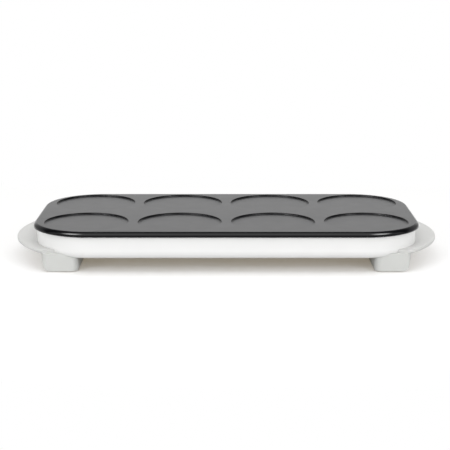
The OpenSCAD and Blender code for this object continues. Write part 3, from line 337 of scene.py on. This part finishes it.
def worked_metal(name, light, dark, rough, line_mm, stretch, depth_mm=0.004):
    """A slightly cloudy metal with lines, rings or an even grain."""
    material, tree, shader, place = start_material(name)
    clouds = grain(tree, place, METAL_CLOUD_MM, CLOUD_DETAIL)
    lines = grain(tree, place, line_mm, stretch=stretch)
    soft = add(tree, "ShaderNodeMapRange", {"Value": clouds, "To Min": METAL_CLOUD_SHARES[0],
                                            "To Max": METAL_CLOUD_SHARES[1]}).outputs["Result"]
    lead(tree, shader, (soft, light, dark),
         (lines, rough - METAL_ROUGHNESS_PLAY, rough + METAL_ROUGHNESS_PLAY), (lines, depth_mm))
    shader.inputs["Metallic"].default_value = 1.0
    return material


# Rolled sheet: long fine lines, cool and cloudy from the zinc, brighter from the aluminium.
finishes["cover_steel"] = worked_metal("zinc-plated sheet steel", "#c3c6c8", "#b2b6b9", 0.36, 0.5, ALONG_X)
finishes["reflector_sheet"] = worked_metal(
    "aluminised sheet steel", "#d0d2d3", "#c2c5c7", 0.26, 0.4, ALONG_X)
# The first heating leaves patches from straw to brown.
finishes["element_sheath"] = worked_metal(
    "stainless sheath, heat-browned", "#8d7f6c", "#5f564d", 0.42, 0.4, EVEN)
# Drawn pins shine along their length, and bare pressed strap is duller.
finishes["pin_steel"] = worked_metal("nickel-plated steel", "#c9c7c1", "#bdbbb5", 0.28, 0.3, ALONG_Z)
finishes["strap_steel"] = worked_metal("bare pressed steel", "#a9a9a7", "#979795", 0.4, 0.5, ALONG_X)
# Barrel-plated screws are bright without a direction, and a turned tube carries fine rings.
finishes["screw_steel"] = worked_metal("zinc-plated steel screws", "#c9cacb", "#b9bbbd", 0.3, 0.3, EVEN)
finishes["spacer_steel"] = worked_metal("turned steel tube", "#b4b6b8", "#a5a8aa", 0.33, 0.3, RINGS)
# Soft sheet with a clean pale shine.
finishes["cap_aluminium"] = worked_metal("pressed aluminium", "#d3d4d5", "#c6c8c9", 0.3, 0.4, EVEN)
# Yellow metals: stamped tabs keep their lines, lacquer smooths the fuse's case.
finishes["terminal_brass"] = worked_metal("stamped brass", "#d6b45e", "#c6a24e", 0.3, 0.4, ALONG_Z)
finishes["fuse_metal"] = worked_metal("lacquered brass", "#c2964a", "#b1853c", 0.22, 0.5, EVEN)
# The blades are polished, so they pick up the clearest reflections.
finishes["pin_nickel"] = worked_metal("polished nickel plate", "#d9d6cf", "#cfccc5", 0.16, 0.4, EVEN, 0.002)
# Reddish strip inside the switch.
finishes["contact_copper"] = worked_metal("copper alloy strip", "#c9835c", "#b9734d", 0.28, 0.4, ALONG_X)
print(len(finishes), "finishes so far")

# %% [markdown]
# ## Woven, clear and striped pieces
#
# The seal and the fuse's sleeve are glass-fibre weaves. Modelled threads would cost thousands of faces
# that nobody sees, so the weave is drawn as crossed waves in colour and bump. Its threads are about a
# millimetre wide. They are drawn six times wider, because the real ones wouldn't show. The lens and the
# lamp let light through, with the slow waves of a moulding. The earth wire carries its two colours in
# stripes, which a wave with a hard edge gives.

# %% Woven, clear and striped pieces
# A straight wave repeats every 0.314 m at a scale of 1, and this draws six threads as one.
WEAVE_SCALE = 0.05
THREAD_DEPTH_MM = 0.15
WEAVE_ROUGHNESS = 0.8
# A slanting wave repeats every 0.363 m at a scale of 1, so the stripes come out a fifth wider.
STRIPE_SCALE = 0.3
WIRE_GRAIN_MM = 0.6
WIRE_ROUGHNESS = 0.5
LENS_WAVE_MM = 1.5
LENS_ROUGHNESS_PLAY = 0.08
LENS_IOR = 1.5
SLIGHT_DEPTH_MM = 0.01


def glass_fibre_weave(name, light, dark, thread_mm):
    """Dull threads that cross each other."""
    material, tree, shader, place = start_material(name)
    waves = [add(tree, "ShaderNodeTexWave", {"Vector": place, "Scale": WEAVE_SCALE / (thread_mm * MM)},
                 bands_direction=axis).outputs["Fac"] for axis in ("X", "Y", "Z")]
    crossed = add(tree, "ShaderNodeMath", {0: waves[0], 1: waves[1]}, operation="MULTIPLY").outputs[0]
    weave = add(tree, "ShaderNodeMath", {0: crossed, 1: waves[2]}, operation="MAXIMUM").outputs[0]
    lead(tree, shader, tones=(weave, dark, light), bump=(weave, THREAD_DEPTH_MM))
    shader.inputs["Roughness"].default_value = WEAVE_ROUGHNESS
    return material


def clear_moulding(name, tint, rough, clear):
    """A tinted piece that lets a share of the light through."""
    material, tree, shader, place = start_material(name)
    waves = grain(tree, place, LENS_WAVE_MM)
    lead(tree, shader, rough=(waves, rough, rough + LENS_ROUGHNESS_PLAY), bump=(waves, SLIGHT_DEPTH_MM))
    for setting, value in (("Base Color", srgb(tint)), ("Transmission Weight", clear), ("IOR", LENS_IOR)):
        shader.inputs[setting].default_value = value
    return material


def striped_insulation(name, light, dark, pitch_mm):
    """Satin insulation in two colours."""
    material, tree, shader, place = start_material(name)
    wave = add(tree, "ShaderNodeTexWave", {"Vector": place, "Scale": STRIPE_SCALE / (pitch_mm * MM)},
               bands_direction="DIAGONAL").outputs["Fac"]
    stripes = add(tree, "ShaderNodeMath", {0: wave, 1: 0.5}, operation="GREATER_THAN").outputs[0]
    skin = grain(tree, place, WIRE_GRAIN_MM)
    lead(tree, shader, tones=(stripes, light, dark), bump=(skin, SLIGHT_DEPTH_MM))
    shader.inputs["Roughness"].default_value = WIRE_ROUGHNESS
    return material


# Graphite darkens the seal to a dull charcoal, and the sleeve stays cream.
finishes["seal"] = glass_fibre_weave("woven glass-fibre strip, graphited", "#2c2c2e", "#202022", 1.2)
finishes["fuse_sleeving"] = glass_fibre_weave("braided glass-fibre sleeve", "#f0ead6", "#d9d0b4", 0.8)
# Half clear, so the lens glows from within, while the lamp behind it is nearly all clear.
finishes["lens_plastic"] = clear_moulding("orange polycarbonate lens", "#f06a28", 0.08, 0.5)
finishes["lamp_glass"] = clear_moulding("neon lamp glass", "#ffe2cc", 0.03, 0.8)
# Two colours in slanting stripes, which nobody takes for a live wire.
finishes["wire_green"] = striped_insulation("green and yellow insulation", "#e3cf2e", "#3f8f3a", 3.0)
print(len(finishes), "finishes")

# %% [markdown]
# ## Dressing the frame
#
# Every construction solid says which material it is made of. Each could be given its finish by hand, but
# a loop over the record can't miss one. The pieces inside get theirs too, so that the part looks right
# when it is taken apart.

# %% Dress the frame
for subpart in frame["record"]["subparts"]:
    piece = nodes[subpart["node"]]
    piece.data.materials.clear()
    piece.data.materials.append(finishes[subpart["material_slot"]])
print(len(nodes), "nodes dressed")

# %% [markdown]
# ## Smooth outer pieces
#
# The outer pieces are castings and mouldings with small even radii. The imported solids arrive as loose
# triangles, so those radii look faceted. The pieces could be modelled again, but they would drift from
# the construction. So each one is a merged copy of its solid: doubled points are joined, flat areas keep
# flat normals and rounded edges shade smoothly, while true corners stay crisp. A Bevel modifier takes
# the edge off the few pieces that the construction leaves with sharp corners.

# %% Body of each node
bodies = frame["record"]["behaviour"]["bodies"]
body_of_node = {node: body for body, members in bodies.items() for node in members}
print({body: len(members) for body, members in bodies.items()})

# %% Merged copy and softened corners
MERGE_WITHIN = 0.002 * MM
BEVEL_SEGMENTS = 3
BEVEL_DEGREES = 40


def merged(mesh):
    """A mesh in the making, with its doubled points joined."""
    builder = bmesh.new()
    builder.from_mesh(mesh)
    bmesh.ops.remove_doubles(builder, verts=builder.verts, dist=MERGE_WITHIN)
    return builder


def soften_corners(piece, width_mm):
    """Rounds every corner of a piece by a few tenths of a millimetre."""
    soften = piece.modifiers.new("softened corners", "BEVEL")
    soften.width = width_mm * MM
    soften.segments = BEVEL_SEGMENTS
    soften.limit_method = "ANGLE"
    soften.angle_limit = math.radians(BEVEL_DEGREES)


print("points within", round(MERGE_WITHIN / MM, 3), "mm count as one")

# %% Smooth copy of a solid
FLAT_DEGREES = 1
SHARP_DEGREES = 32
AREA_WEIGHT = 100


def smooth_piece(node, name, soften_mm):
    """A merged and smoothly shaded copy that stands for a CAD node, with softened corners if asked."""
    mesh = nodes[node].data.copy()
    mesh.name = name
    builder = merged(mesh)
    if soften_mm:
        bmesh.ops.dissolve_limit(builder, angle_limit=math.radians(FLAT_DEGREES), verts=builder.verts,
                                 edges=builder.edges)
    builder.to_mesh(mesh)
    builder.free()
    mesh.shade_smooth()
    mesh.set_sharp_from_angle(angle=math.radians(SHARP_DEGREES))
    piece = bpy.data.objects.new(name, mesh)
    bpy.context.scene.collection.objects.link(piece)
    if soften_mm:
        soften_corners(piece, soften_mm)
    even_out = piece.modifiers.new("flat faces stay flat", "WEIGHTED_NORMAL")
    even_out.weight = AREA_WEIGHT
    even_out.keep_sharp = True
    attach(piece, body_of_node[node])
    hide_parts(node)
    return piece


print("smooth copies ready")

# %% Outer pieces
OUTER_PIECES = {
    "grill_plate": "cooking_plate", "housing": "white_housing", "base_cover": "bottom_cover",
    "handle_left": "left_handle", "handle_right": "right_handle",
    "foot_front_left": "front_left_foot", "foot_front_right": "front_right_foot",
    "foot_rear_left": "rear_left_foot", "foot_rear_right": "rear_right_foot",
    "pad_front_left": "front_left_pad", "pad_front_right": "front_right_pad",
    "pad_rear_left": "rear_left_pad", "pad_rear_right": "rear_right_pad",
    "inlet_body": "appliance_inlet", "inlet_pins": "inlet_blades", "switch_body": "switch_frame",
    "switch_rocker": "rocker_cap", "pilot_lens": "pilot_window",
}
SOFT_CORNERS_MM = {"foot": 0.6, "pad": 0.25, "inlet_body": 0.3, "switch_body": 0.25, "switch_rocker": 0.3}

for node, name in OUTER_PIECES.items():
    soften_mm = next((width for start, width in SOFT_CORNERS_MM.items() if node.startswith(start)), 0.0)
    piece = smooth_piece(node, name, soften_mm)
    print(name, len(piece.data.polygons), "faces")

# %% [markdown]
# ## Screws
#
# Three sets of screws show from below and from the back: zinc-plated pan heads with a cross recess. One
# could be modelled by hand and copied about, but the sets differ in size. So one node group makes them
# all: a domed head, a cross recess cut into it and a shank, put on every point it is given and turned by
# chance, as hand-driven screws are. The places and sizes are measured on the CAD screws, so nothing is
# typed twice.

# %% Separate solids of a node
def loose_solids(node):
    """The corner points of each separate solid in a CAD node, in the mesh's own order."""
    builder = merged(nodes[node].data)
    # A dict keeps its order and a set doesn't, so each run gives a screw the same turn.
    left = dict.fromkeys(builder.verts)
    solids = []
    while left:
        first, _ = left.popitem()
        group, edge = [], [first]
        while edge:
            vert = edge.pop()
            group.append(vert.co.copy())
            for link in vert.link_edges:
                other = link.other_vert(vert)
                if other in left:
                    del left[other]
                    edge.append(other)
        solids.append(group)
    builder.free()
    return solids


print("cover screws found:", len(loose_solids("cover_screws")))

# %% Screw places and sizes
HEAD_EDGE_SHARE = 0.95
TIP_LENGTH = 0.01 * MM


def measured_screws(node, shank_way):
    """Seats under the heads, and the head and shank sizes, of the screws whose shanks point one way."""
    way = Vector(shank_way)
    seats, sizes = [], {}
    for points in loose_solids(node):
        along = [point.dot(way) for point in points]
        low, high = min(along), max(along)
        middle_line = sum((p - way * p.dot(way) for p in points), Vector()) / len(points)
        radii = [(p - way * p.dot(way) - middle_line).length for p in points]
        wide = max(radii)
        seat = max(a for a, radius in zip(along, radii) if radius > HEAD_EDGE_SHARE * wide)
        tip = [radius for a, radius in zip(along, radii) if a > high - TIP_LENGTH]
        seats.append(middle_line + way * seat)
        sizes = {"Head radius": wide, "Head height": seat - low,
                 "Shank radius": max(tip), "Shank length": high - seat}
    return seats, sizes


_, cover_screw = measured_screws("cover_screws", (0, 0, 1))
print("cover screw in mm:", {k: round(v / MM, 2) for k, v in cover_screw.items()})

# %% [markdown]
# ## How a node group starts and ends
#
# A group could be drawn in the editor, but built here its sizes have names, and a set of pieces can be
# made again from other sizes. Each group takes the places, some named numbers and a finish. Each ends by
# making its copies real and giving them their finish, because the export leaves out copies that have no
# mesh of their own. Cutting leaves some doubled points, which are joined on the way.

# %% Start, end and shift in a node group
def start_group(name, inputs, result):
    """An empty node group and its inputs: places, the named ones and a finish."""
    group = bpy.data.node_groups.new(name, "GeometryNodeTree")
    for label, kind in {"Places": "Geometry", **inputs, "Finish": "Material"}.items():
        group.interface.new_socket(label, in_out="INPUT", socket_type="NodeSocket" + kind)
    group.interface.new_socket(result, in_out="OUTPUT", socket_type="NodeSocketGeometry")
    return group, add(group, "NodeGroupInput").outputs


def end_group(group, copies, finish, result):
    """Makes the copies real, joins their doubled points, gives them their finish and hands them out."""
    solid = add(group, "GeometryNodeRealizeInstances", {"Geometry": copies}).outputs[0]
    joined = add(group, "GeometryNodeMergeByDistance", {"Geometry": solid, "Distance": MERGE_WITHIN})
    dressed = add(group, "GeometryNodeSetMaterial", {"Geometry": joined.outputs[0], "Material": finish})
    add(group, "NodeGroupOutput", {result: dressed.outputs[0]})


def moved_up(group, mesh, length, share):
    """A mesh moved along Z by a share of a length."""
    height = add(group, "ShaderNodeMath", {0: length, 1: share}, operation="MULTIPLY").outputs[0]
    shift = add(group, "ShaderNodeCombineXYZ", {"Z": height}).outputs[0]
    return add(group, "GeometryNodeTransform", {"Geometry": mesh, "Translation": shift}).outputs[0]


print("group helpers ready")

# %% Screw head
HEAD_FINENESS = {"Vertices": 48, "Side Segments": 3, "Fill Segments": 6}
DOME_POWER = 2.4
DOME_SHARE = 0.6
# The slots are boxes centred on the face: shares of the head's radius, and a share of its height.
CROSS_LONG = 1.15
CROSS_WIDE = 0.26
CROSS_DEEP = 1.2


def domed_head(group, size, extent):
    """A round head with its seat at zero and its face below, which rises towards the rim."""
    disc = add(group, "GeometryNodeMeshCylinder", {**HEAD_FINENESS, "Radius": size["Head radius"],
                                                   "Depth": size["Head height"]}).outputs["Mesh"]
    place = add(group, "GeometryNodeInputPosition").outputs[0]
    relative = add(group, "ShaderNodeVectorMath", {0: place, 1: extent}, operation="DIVIDE").outputs["Vector"]
    sideways = add(group, "ShaderNodeVectorMath", {0: relative, 1: (1, 1, 0)}, operation="MULTIPLY")
    outward = add(group, "ShaderNodeVectorMath", {0: sideways.outputs["Vector"]}, operation="LENGTH")
    curve = add(group, "ShaderNodeMath", {0: outward.outputs["Value"], 1: DOME_POWER}, operation="POWER")
    upward = add(group, "ShaderNodeSeparateXYZ", {0: relative}).outputs["Z"]
    lower = add(group, "ShaderNodeMath", {0: 0.5, 1: upward}, operation="SUBTRACT").outputs[0]
    share = add(group, "ShaderNodeMath", {0: curve.outputs[0], 1: lower}, operation="MULTIPLY").outputs[0]
    most = add(group, "ShaderNodeVectorMath", {0: extent, 1: (0, 0, DOME_SHARE)}, operation="MULTIPLY")
    rise = add(group, "ShaderNodeVectorMath", {0: most.outputs["Vector"], "Scale": share}, operation="SCALE")
    domed = add(group, "GeometryNodeSetPosition", {"Geometry": disc, "Offset": rise.outputs["Vector"]})
    return moved_up(group, domed.outputs[0], size["Head height"], -0.5)


def with_cross_recess(group, head, size, extent):
    """The head with two crossing slots cut into its face."""
    # The exact solver copes with slots that cross each other, and leaves the head closed.
    cut = add(group, "GeometryNodeMeshBoolean", {"Mesh 1": head}, operation="DIFFERENCE", solver="EXACT")
    for shares in ((CROSS_LONG, CROSS_WIDE, CROSS_DEEP), (CROSS_WIDE, CROSS_LONG, CROSS_DEEP)):
        slot_size = add(group, "ShaderNodeVectorMath", {0: extent, 1: shares}, operation="MULTIPLY")
        slot = add(group, "GeometryNodeMeshCube", {"Size": slot_size.outputs["Vector"]}).outputs["Mesh"]
        group.links.new(moved_up(group, slot, size["Head height"], -1.0), cut.inputs["Mesh 2"])
    return cut.outputs["Mesh"]


print("slots reach", CROSS_DEEP / 2, "of the head's height deep")

# %% Screw node group
SHANK_SIDES = 24
MOST_TURN = math.pi / 2


def pan_head_screws():
    """Node group that puts a screw, with its shank along its own Z, on every point."""
    numbers = dict.fromkeys(("Head radius", "Head height", "Shank radius", "Shank length"), "Float")
    group, size = start_group("pan head screws", {**numbers, "Turn": "Vector", "Seed": "Int"}, "Screws")
    extent = add(group, "ShaderNodeCombineXYZ", {"X": size["Head radius"], "Y": size["Head radius"],
                                                 "Z": size["Head height"]}).outputs[0]
    head = with_cross_recess(group, domed_head(group, size, extent), size, extent)
    shank = add(group, "GeometryNodeMeshCylinder", {"Vertices": SHANK_SIDES, "Radius": size["Shank radius"],
                                                    "Depth": size["Shank length"]}).outputs["Mesh"]
    whole = add(group, "GeometryNodeJoinGeometry")
    group.links.new(head, whole.inputs[0])
    group.links.new(moved_up(group, shank, size["Shank length"], 0.5), whole.inputs[0])
    copies = add(group, "GeometryNodeInstanceOnPoints", {"Points": size["Places"], "Rotation": size["Turn"],
                                                         "Instance": whole.outputs[0]}).outputs[0]
    chance = add(group, "FunctionNodeRandomValue", {"Seed": size["Seed"], 3: MOST_TURN}, data_type="FLOAT")
    spin = add(group, "ShaderNodeCombineXYZ", {"Z": chance.outputs[1]}).outputs[0]
    turned = add(group, "GeometryNodeRotateInstances", {"Instances": copies, "Rotation": spin}).outputs[0]
    end_group(group, turned, size["Finish"], "Screws")
    return group


screw_maker = pan_head_screws()
print("screw group:", len(screw_maker.nodes), "nodes")

# %% A plain mesh from a node group
CRISP_DEGREES = 35


def made_by_nodes(name, places, group, settings, node, stands_for_it=True):
    """A plain mesh made by a node group on the given points, which rides with a CAD node or replaces it."""
    mesh = bpy.data.meshes.new(name + " places")
    mesh.from_pydata([tuple(p) for p in places], [], [])
    maker = bpy.data.objects.new(name + " maker", mesh)
    bpy.context.scene.collection.objects.link(maker)
    change = maker.modifiers.new("maker", "NODES")
    change.node_group = group
    for socket in group.interface.items_tree:
        if socket.in_out == "INPUT" and socket.name in settings:
            change[socket.identifier] = settings[socket.name]
    bpy.context.view_layer.update()
    made = bpy.data.meshes.new_from_object(maker.evaluated_get(bpy.context.evaluated_depsgraph_get()))
    bpy.data.objects.remove(maker)
    made.name = name
    made.shade_smooth()
    made.set_sharp_from_angle(angle=math.radians(CRISP_DEGREES))
    piece = bpy.data.objects.new(name, made)
    bpy.context.scene.collection.objects.link(piece)
    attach(piece, body_of_node[node])
    if stands_for_it:
        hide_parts(node)
    return piece


print("corners over", CRISP_DEGREES, "degrees stay crisp")

# %% Screws
# For each set: the way its shanks point, and the turn that lays a screw's own Z along it.
SCREW_SETS = {"cover_screws": ((0, 0, 1), (0, 0, 0)), "plate_screws": ((0, 0, 1), (0, 0, 0)),
              "inlet_screws": ((0, -1, 0), (math.pi / 2, 0, 0))}

for seed, (node, (way, turn)) in enumerate(SCREW_SETS.items()):
    seats, sizes = measured_screws(node, way)
    made = made_by_nodes(node.replace("_screws", "_fixing_screws"), seats, screw_maker,
                         {**sizes, "Turn": turn, "Seed": seed, "Finish": finishes["screw_steel"]}, node)
    print(made.name, len(seats), {k: round(v / MM, 2) for k, v in sizes.items()}, len(made.data.polygons))

# %% [markdown]
# ## Pressed beads
#
# A thin sheet this wide would drum, so four long beads are pressed into the bottom cover to stiffen it.
# Displacement could push them out of the sheet, but that takes a very dense mesh. Each is a low rounded
# ridge with round ends instead, half of it hidden in the sheet, and a second node group lays one on
# every point.

# %% Pressed beads
BEAD_SIDES = 24
BEAD_END_RINGS = 12
BEAD_LENGTH = 280 * MM
BEAD_RADIUS = 3 * MM
BEAD_FLATNESS = 0.25
BEAD_ROWS = [y * MM for y in (-77, -38, 38, 77)]


def pressed_beads():
    """Node group that lays a long low ridge with round ends, along X, on every point."""
    numbers = dict.fromkeys(("Length", "Radius", "Flatness"), "Float")
    group, size = start_group("pressed beads", numbers, "Beads")
    rod = add(group, "GeometryNodeMeshCylinder", {"Vertices": BEAD_SIDES, "Radius": size["Radius"],
                                                  "Depth": size["Length"]}).outputs["Mesh"]
    ball = add(group, "GeometryNodeMeshUVSphere", {"Segments": BEAD_SIDES, "Rings": BEAD_END_RINGS,
                                                   "Radius": size["Radius"]}).outputs["Mesh"]
    # Joined by a union, the rod and its round ends are one skin with nothing left inside.
    whole = add(group, "GeometryNodeMeshBoolean", operation="UNION", solver="EXACT")
    group.links.new(rod, whole.inputs["Mesh 2"])
    for end in (-0.5, 0.5):
        group.links.new(moved_up(group, ball, size["Length"], end), whole.inputs["Mesh 2"])
    lying = add(group, "GeometryNodeTransform", {"Geometry": whole.outputs[0],
                                                 "Rotation": (0, math.pi / 2, 0)}).outputs[0]
    squash = add(group, "ShaderNodeCombineXYZ", {"X": 1.0, "Y": 1.0, "Z": size["Flatness"]}).outputs[0]
    flat = add(group, "GeometryNodeTransform", {"Geometry": lying, "Scale": squash}).outputs[0]
    copies = add(group, "GeometryNodeInstanceOnPoints", {"Points": size["Places"], "Instance": flat})
    end_group(group, copies.outputs[0], size["Finish"], "Beads")
    return group


cover_low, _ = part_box("base_cover")
bead_places = [(0, y, cover_low.z) for y in BEAD_ROWS]
bead_settings = {"Length": BEAD_LENGTH, "Radius": BEAD_RADIUS, "Flatness": BEAD_FLATNESS,
                 "Finish": finishes["cover_steel"]}
beads = made_by_nodes("cover_beads", bead_places, pressed_beads(), bead_settings, "base_cover",
                      stands_for_it=False)
print(beads.name, len(bead_places), len(beads.data.polygons))

# %% [markdown]
# ## Floor
#
# The griddle stands on a wide white table. Blender has a shadow catcher for this, but it shows a shadow
# and no table, so a real top is used. What shows of it is its lit colour plus a faint warm glow: painted
# light, which keeps the deepest shadow under the griddle a light warm grey.
# Beside the griddle a share of plain white is painted over the shadow, painted light that thins it there.
# Far from it, where the lamps fade, the table turns to plain white. Light that only bounces off the table
# meets a plain pale grey, which fixes how much of it reaches the sides of the housing.

# %% Table top
TABLE_HALF = 6.0


def table_top():
    """A level square under the griddle."""
    corners = [(-TABLE_HALF, -TABLE_HALF, 0), (TABLE_HALF, -TABLE_HALF, 0),
               (TABLE_HALF, TABLE_HALF, 0), (-TABLE_HALF, TABLE_HALF, 0)]
    mesh = bpy.data.meshes.new("table")
    mesh.from_pydata(corners, [], [(0, 1, 2, 3)])
    table = bpy.data.objects.new("table", mesh)
    bpy.context.scene.collection.objects.link(table)
    return table


table = table_top()
print("table", 2 * TABLE_HALF, "m wide")

# %% Where the table turns white
OVAL = (0.6, 1, 1)
WHITE_FROM, WHITE_BY = 0.26, 0.5
BESIDE_FROM, BESIDE_BY = 0.2, 0.25
BESIDE_PAINTED_LIGHT = 0.45


def white_share(tree):
    """Zero near the griddle, a share beside it, and one far from it."""
    place = add(tree, "ShaderNodeTexCoord").outputs["Object"]
    oval = add(tree, "ShaderNodeMapping", {"Vector": place, "Scale": OVAL}).outputs["Vector"]
    away = add(tree, "ShaderNodeVectorMath", {0: oval}, operation="LENGTH").outputs["Value"]
    far = add(tree, "ShaderNodeMapRange", {"Value": away, "From Min": WHITE_FROM, "From Max": WHITE_BY})
    sideways = add(tree, "ShaderNodeSeparateXYZ", {0: place}).outputs["X"]
    across = add(tree, "ShaderNodeMath", {0: sideways}, operation="ABSOLUTE").outputs[0]
    # Beside the griddle a share of plain white is painted over its shadow: painted light.
    beside = add(tree, "ShaderNodeMapRange", {"Value": across, "From Min": BESIDE_FROM, "From Max": BESIDE_BY,
                                              "To Max": BESIDE_PAINTED_LIGHT})
    return add(tree, "ShaderNodeMath", {0: far.outputs["Result"], 1: beside.outputs["Result"]},
               operation="MAXIMUM").outputs[0]


print("plain white from", WHITE_BY, "m")

# %% Finish of the table
TABLE_LIT = "#eceff3"
TABLE_PAINTED_GLOW = "#726858"
TABLE_BOUNCE = "#d4d4d4"
WHITE = "#ffffff"

table_finish = bpy.data.materials.new("white table top")
table_finish.use_nodes = True
tree = table_finish.node_tree
tree.nodes.clear()
lit = add(tree, "ShaderNodeBsdfDiffuse", {"Color": srgb(TABLE_LIT)}).outputs[0]
# A warm glow, seen by the camera and in reflections: painted light that lifts the shadow under the griddle.
painted_glow = add(tree, "ShaderNodeEmission", {"Color": srgb(TABLE_PAINTED_GLOW), "Strength": 1.0}).outputs[0]
lit_with_painted_glow = add(tree, "ShaderNodeAddShader", {0: lit, 1: painted_glow}).outputs[0]
far_tone = add(tree, "ShaderNodeEmission", {"Color": srgb(WHITE), "Strength": 1.0}).outputs[0]
shown = add(tree, "ShaderNodeMixShader", {0: white_share(tree), 1: lit_with_painted_glow, 2: far_tone}).outputs[0]
bounce = add(tree, "ShaderNodeBsdfDiffuse", {"Color": srgb(TABLE_BOUNCE)}).outputs[0]
rays = add(tree, "ShaderNodeLightPath").outputs
mirrored = add(tree, "ShaderNodeMath", {0: rays["Is Glossy Ray"], 1: rays["Is Transmission Ray"]},
               operation="MAXIMUM").outputs[0]
seen = add(tree, "ShaderNodeMath", {0: rays["Is Camera Ray"], 1: mirrored}, operation="MAXIMUM").outputs[0]
surface = add(tree, "ShaderNodeMixShader", {0: seen, 1: bounce, 2: shown}).outputs[0]
add(tree, "ShaderNodeOutputMaterial", {"Surface": surface})
table.data.materials.append(table_finish)
print("table dressed:", table_finish.name)

# %% [markdown]
# ## Room
#
# The room is white where it can be seen. In reflections it is the room of a studio: a white wall
# behind the griddle, dim side walls, a dark ceiling, and in front a broad pale screen over a dim lower
# part. The ceiling draws the dark line along the top of the plate's edge, the screen the paler band
# under it, and the side walls keep its corners dark. A small bright panel on each side leaves one
# highlight on each front corner.
#
# Walls and screens could be built round the griddle, but they would also have to be lit and hidden. The
# world does it with no objects: it is a brightness for each direction, which stays still when the
# camera moves. The angle turns from the front at 0 degrees over the top at 90 to the back at 180.

# %% Brightness by the angle over the griddle
ROOM_PEAK = 2.0
REFLECTED_ROOM = ((8, 0.04), (24, 0.3), (38, 1.15), (58, 1.7), (79, 2.0), (87, 0.03), (122, 0.03),
                  (142, 0.9), (155, 1.0))

world = bpy.data.worlds.new("white room")
bpy.context.scene.world = world
world.use_nodes = True
room = world.node_tree
room.nodes.clear()
direction = add(room, "ShaderNodeTexCoord").outputs["Generated"]
heading = add(room, "ShaderNodeSeparateXYZ", {0: direction}).outputs
frontward = add(room, "ShaderNodeMath", {0: heading["Y"], 1: -1.0}, operation="MULTIPLY").outputs[0]
turn = add(room, "ShaderNodeMath", {0: heading["Z"], 1: frontward}, operation="ARCTAN2").outputs[0]
angle = add(room, "ShaderNodeMapRange", {"Value": turn, "From Min": 0.0, "From Max": math.pi})
sides = add(room, "ShaderNodeValToRGB", {"Fac": angle.outputs["Result"]})
stops = sides.color_ramp.elements
for degrees, brightness in REFLECTED_ROOM:
    share = brightness / ROOM_PEAK
    stops.new(degrees / 180).color = (share, share, share, 1)
stops.remove(stops[-1])
stops.remove(stops[0])
print("room stops:", [round(stop.position * 180) for stop in stops])

# %% Side walls and panels
SIDE_WALL_SHARE = 0.4
SIDE_WALLS_FROM, SIDE_WALLS_BY = 0.35, 0.55
PANEL_BRIGHTNESS = 15.0
PANEL_TOWARDS = (0.49, -0.40, 0.77)
PANEL_EDGE, PANEL_CORE = 0.31, 0.07

across = add(room, "ShaderNodeMath", {0: heading["X"]}, operation="ABSOLUTE").outputs[0]
dimming = add(room, "ShaderNodeMapRange", {"Value": across, "From Min": SIDE_WALLS_FROM,
                                           "From Max": SIDE_WALLS_BY, "To Min": ROOM_PEAK,
                                           "To Max": ROOM_PEAK * SIDE_WALL_SHARE}).outputs["Result"]
walls = add(room, "ShaderNodeMath", {0: sides.outputs["Color"], 1: dimming}, operation="MULTIPLY").outputs[0]
either_side = add(room, "ShaderNodeCombineXYZ", {"X": across, "Y": heading["Y"], "Z": heading["Z"]})
off_panel = add(room, "ShaderNodeVectorMath", {0: either_side.outputs[0], 1: PANEL_TOWARDS},
                operation="DISTANCE").outputs["Value"]
panels = add(room, "ShaderNodeMapRange", {"Value": off_panel, "From Min": PANEL_EDGE, "From Max": PANEL_CORE,
                                          "To Min": 0.0, "To Max": PANEL_BRIGHTNESS}).outputs["Result"]
reflected = add(room, "ShaderNodeMath", {0: walls, 1: panels}, operation="ADD").outputs[0]
print("brightest wall", ROOM_PEAK, "and panels", PANEL_BRIGHTNESS)

# %% What each ray meets
ROOM_FILL = 0.45

rays = add(room, "ShaderNodeLightPath").outputs
shiny = add(room, "ShaderNodeMath", {0: rays["Is Glossy Ray"], 1: rays["Is Transmission Ray"]},
            operation="MAXIMUM").outputs[0]
unseen = add(room, "ShaderNodeMapRange", {"Value": shiny, "To Min": ROOM_FILL,
                                          "To Max": reflected}).outputs["Result"]
brightness = add(room, "ShaderNodeMapRange", {"Value": rays["Is Camera Ray"], "To Min": unseen,
                                              "To Max": 1.0}).outputs["Result"]
backdrop = add(room, "ShaderNodeBackground", {"Color": srgb(WHITE), "Strength": brightness}).outputs[0]
add(room, "ShaderNodeOutputWorld", {"Surface": backdrop})
print("room:", len(room.nodes), "nodes")

# %% [markdown]
# ## Lamps
#
# Two soft lamps stand in front, to the left and to the right. They light the white housing evenly and
# reach under it. A wide soft lamp overhead gives the shadow right under the griddle. One lamp could do
# for all, but then the front of the housing would be darker than its top. None of the lamps shows in
# reflections, because the room already holds what is to be reflected.

# %% Lamps
LAMPS_AIM = Vector((0, 0, 0.03))
# Each lamp's place, its width and depth, and its watts.
LAMPS = {"overhead lamp": ((0, -0.2, 1.8), (2.6, 2.2), 24),
         "left lamp": ((-1.2, -1.55, 0.8), (0.8, 0.9), 10.9),
         "right lamp": ((1.2, -1.55, 0.8), (0.8, 0.9), 10.9)}

for name, (place, size, watts) in LAMPS.items():
    lamp = bpy.data.lights.new(name, "AREA")
    lamp.shape = "RECTANGLE"
    lamp.size, lamp.size_y = size
    lamp.energy = watts
    holder = bpy.data.objects.new(name, lamp)
    bpy.context.scene.collection.objects.link(holder)
    holder.location = place
    holder.rotation_euler = (LAMPS_AIM - Vector(place)).to_track_quat("-Z", "Y").to_euler()
    holder.visible_glossy = False
    print(name, size, "m", watts, "W")
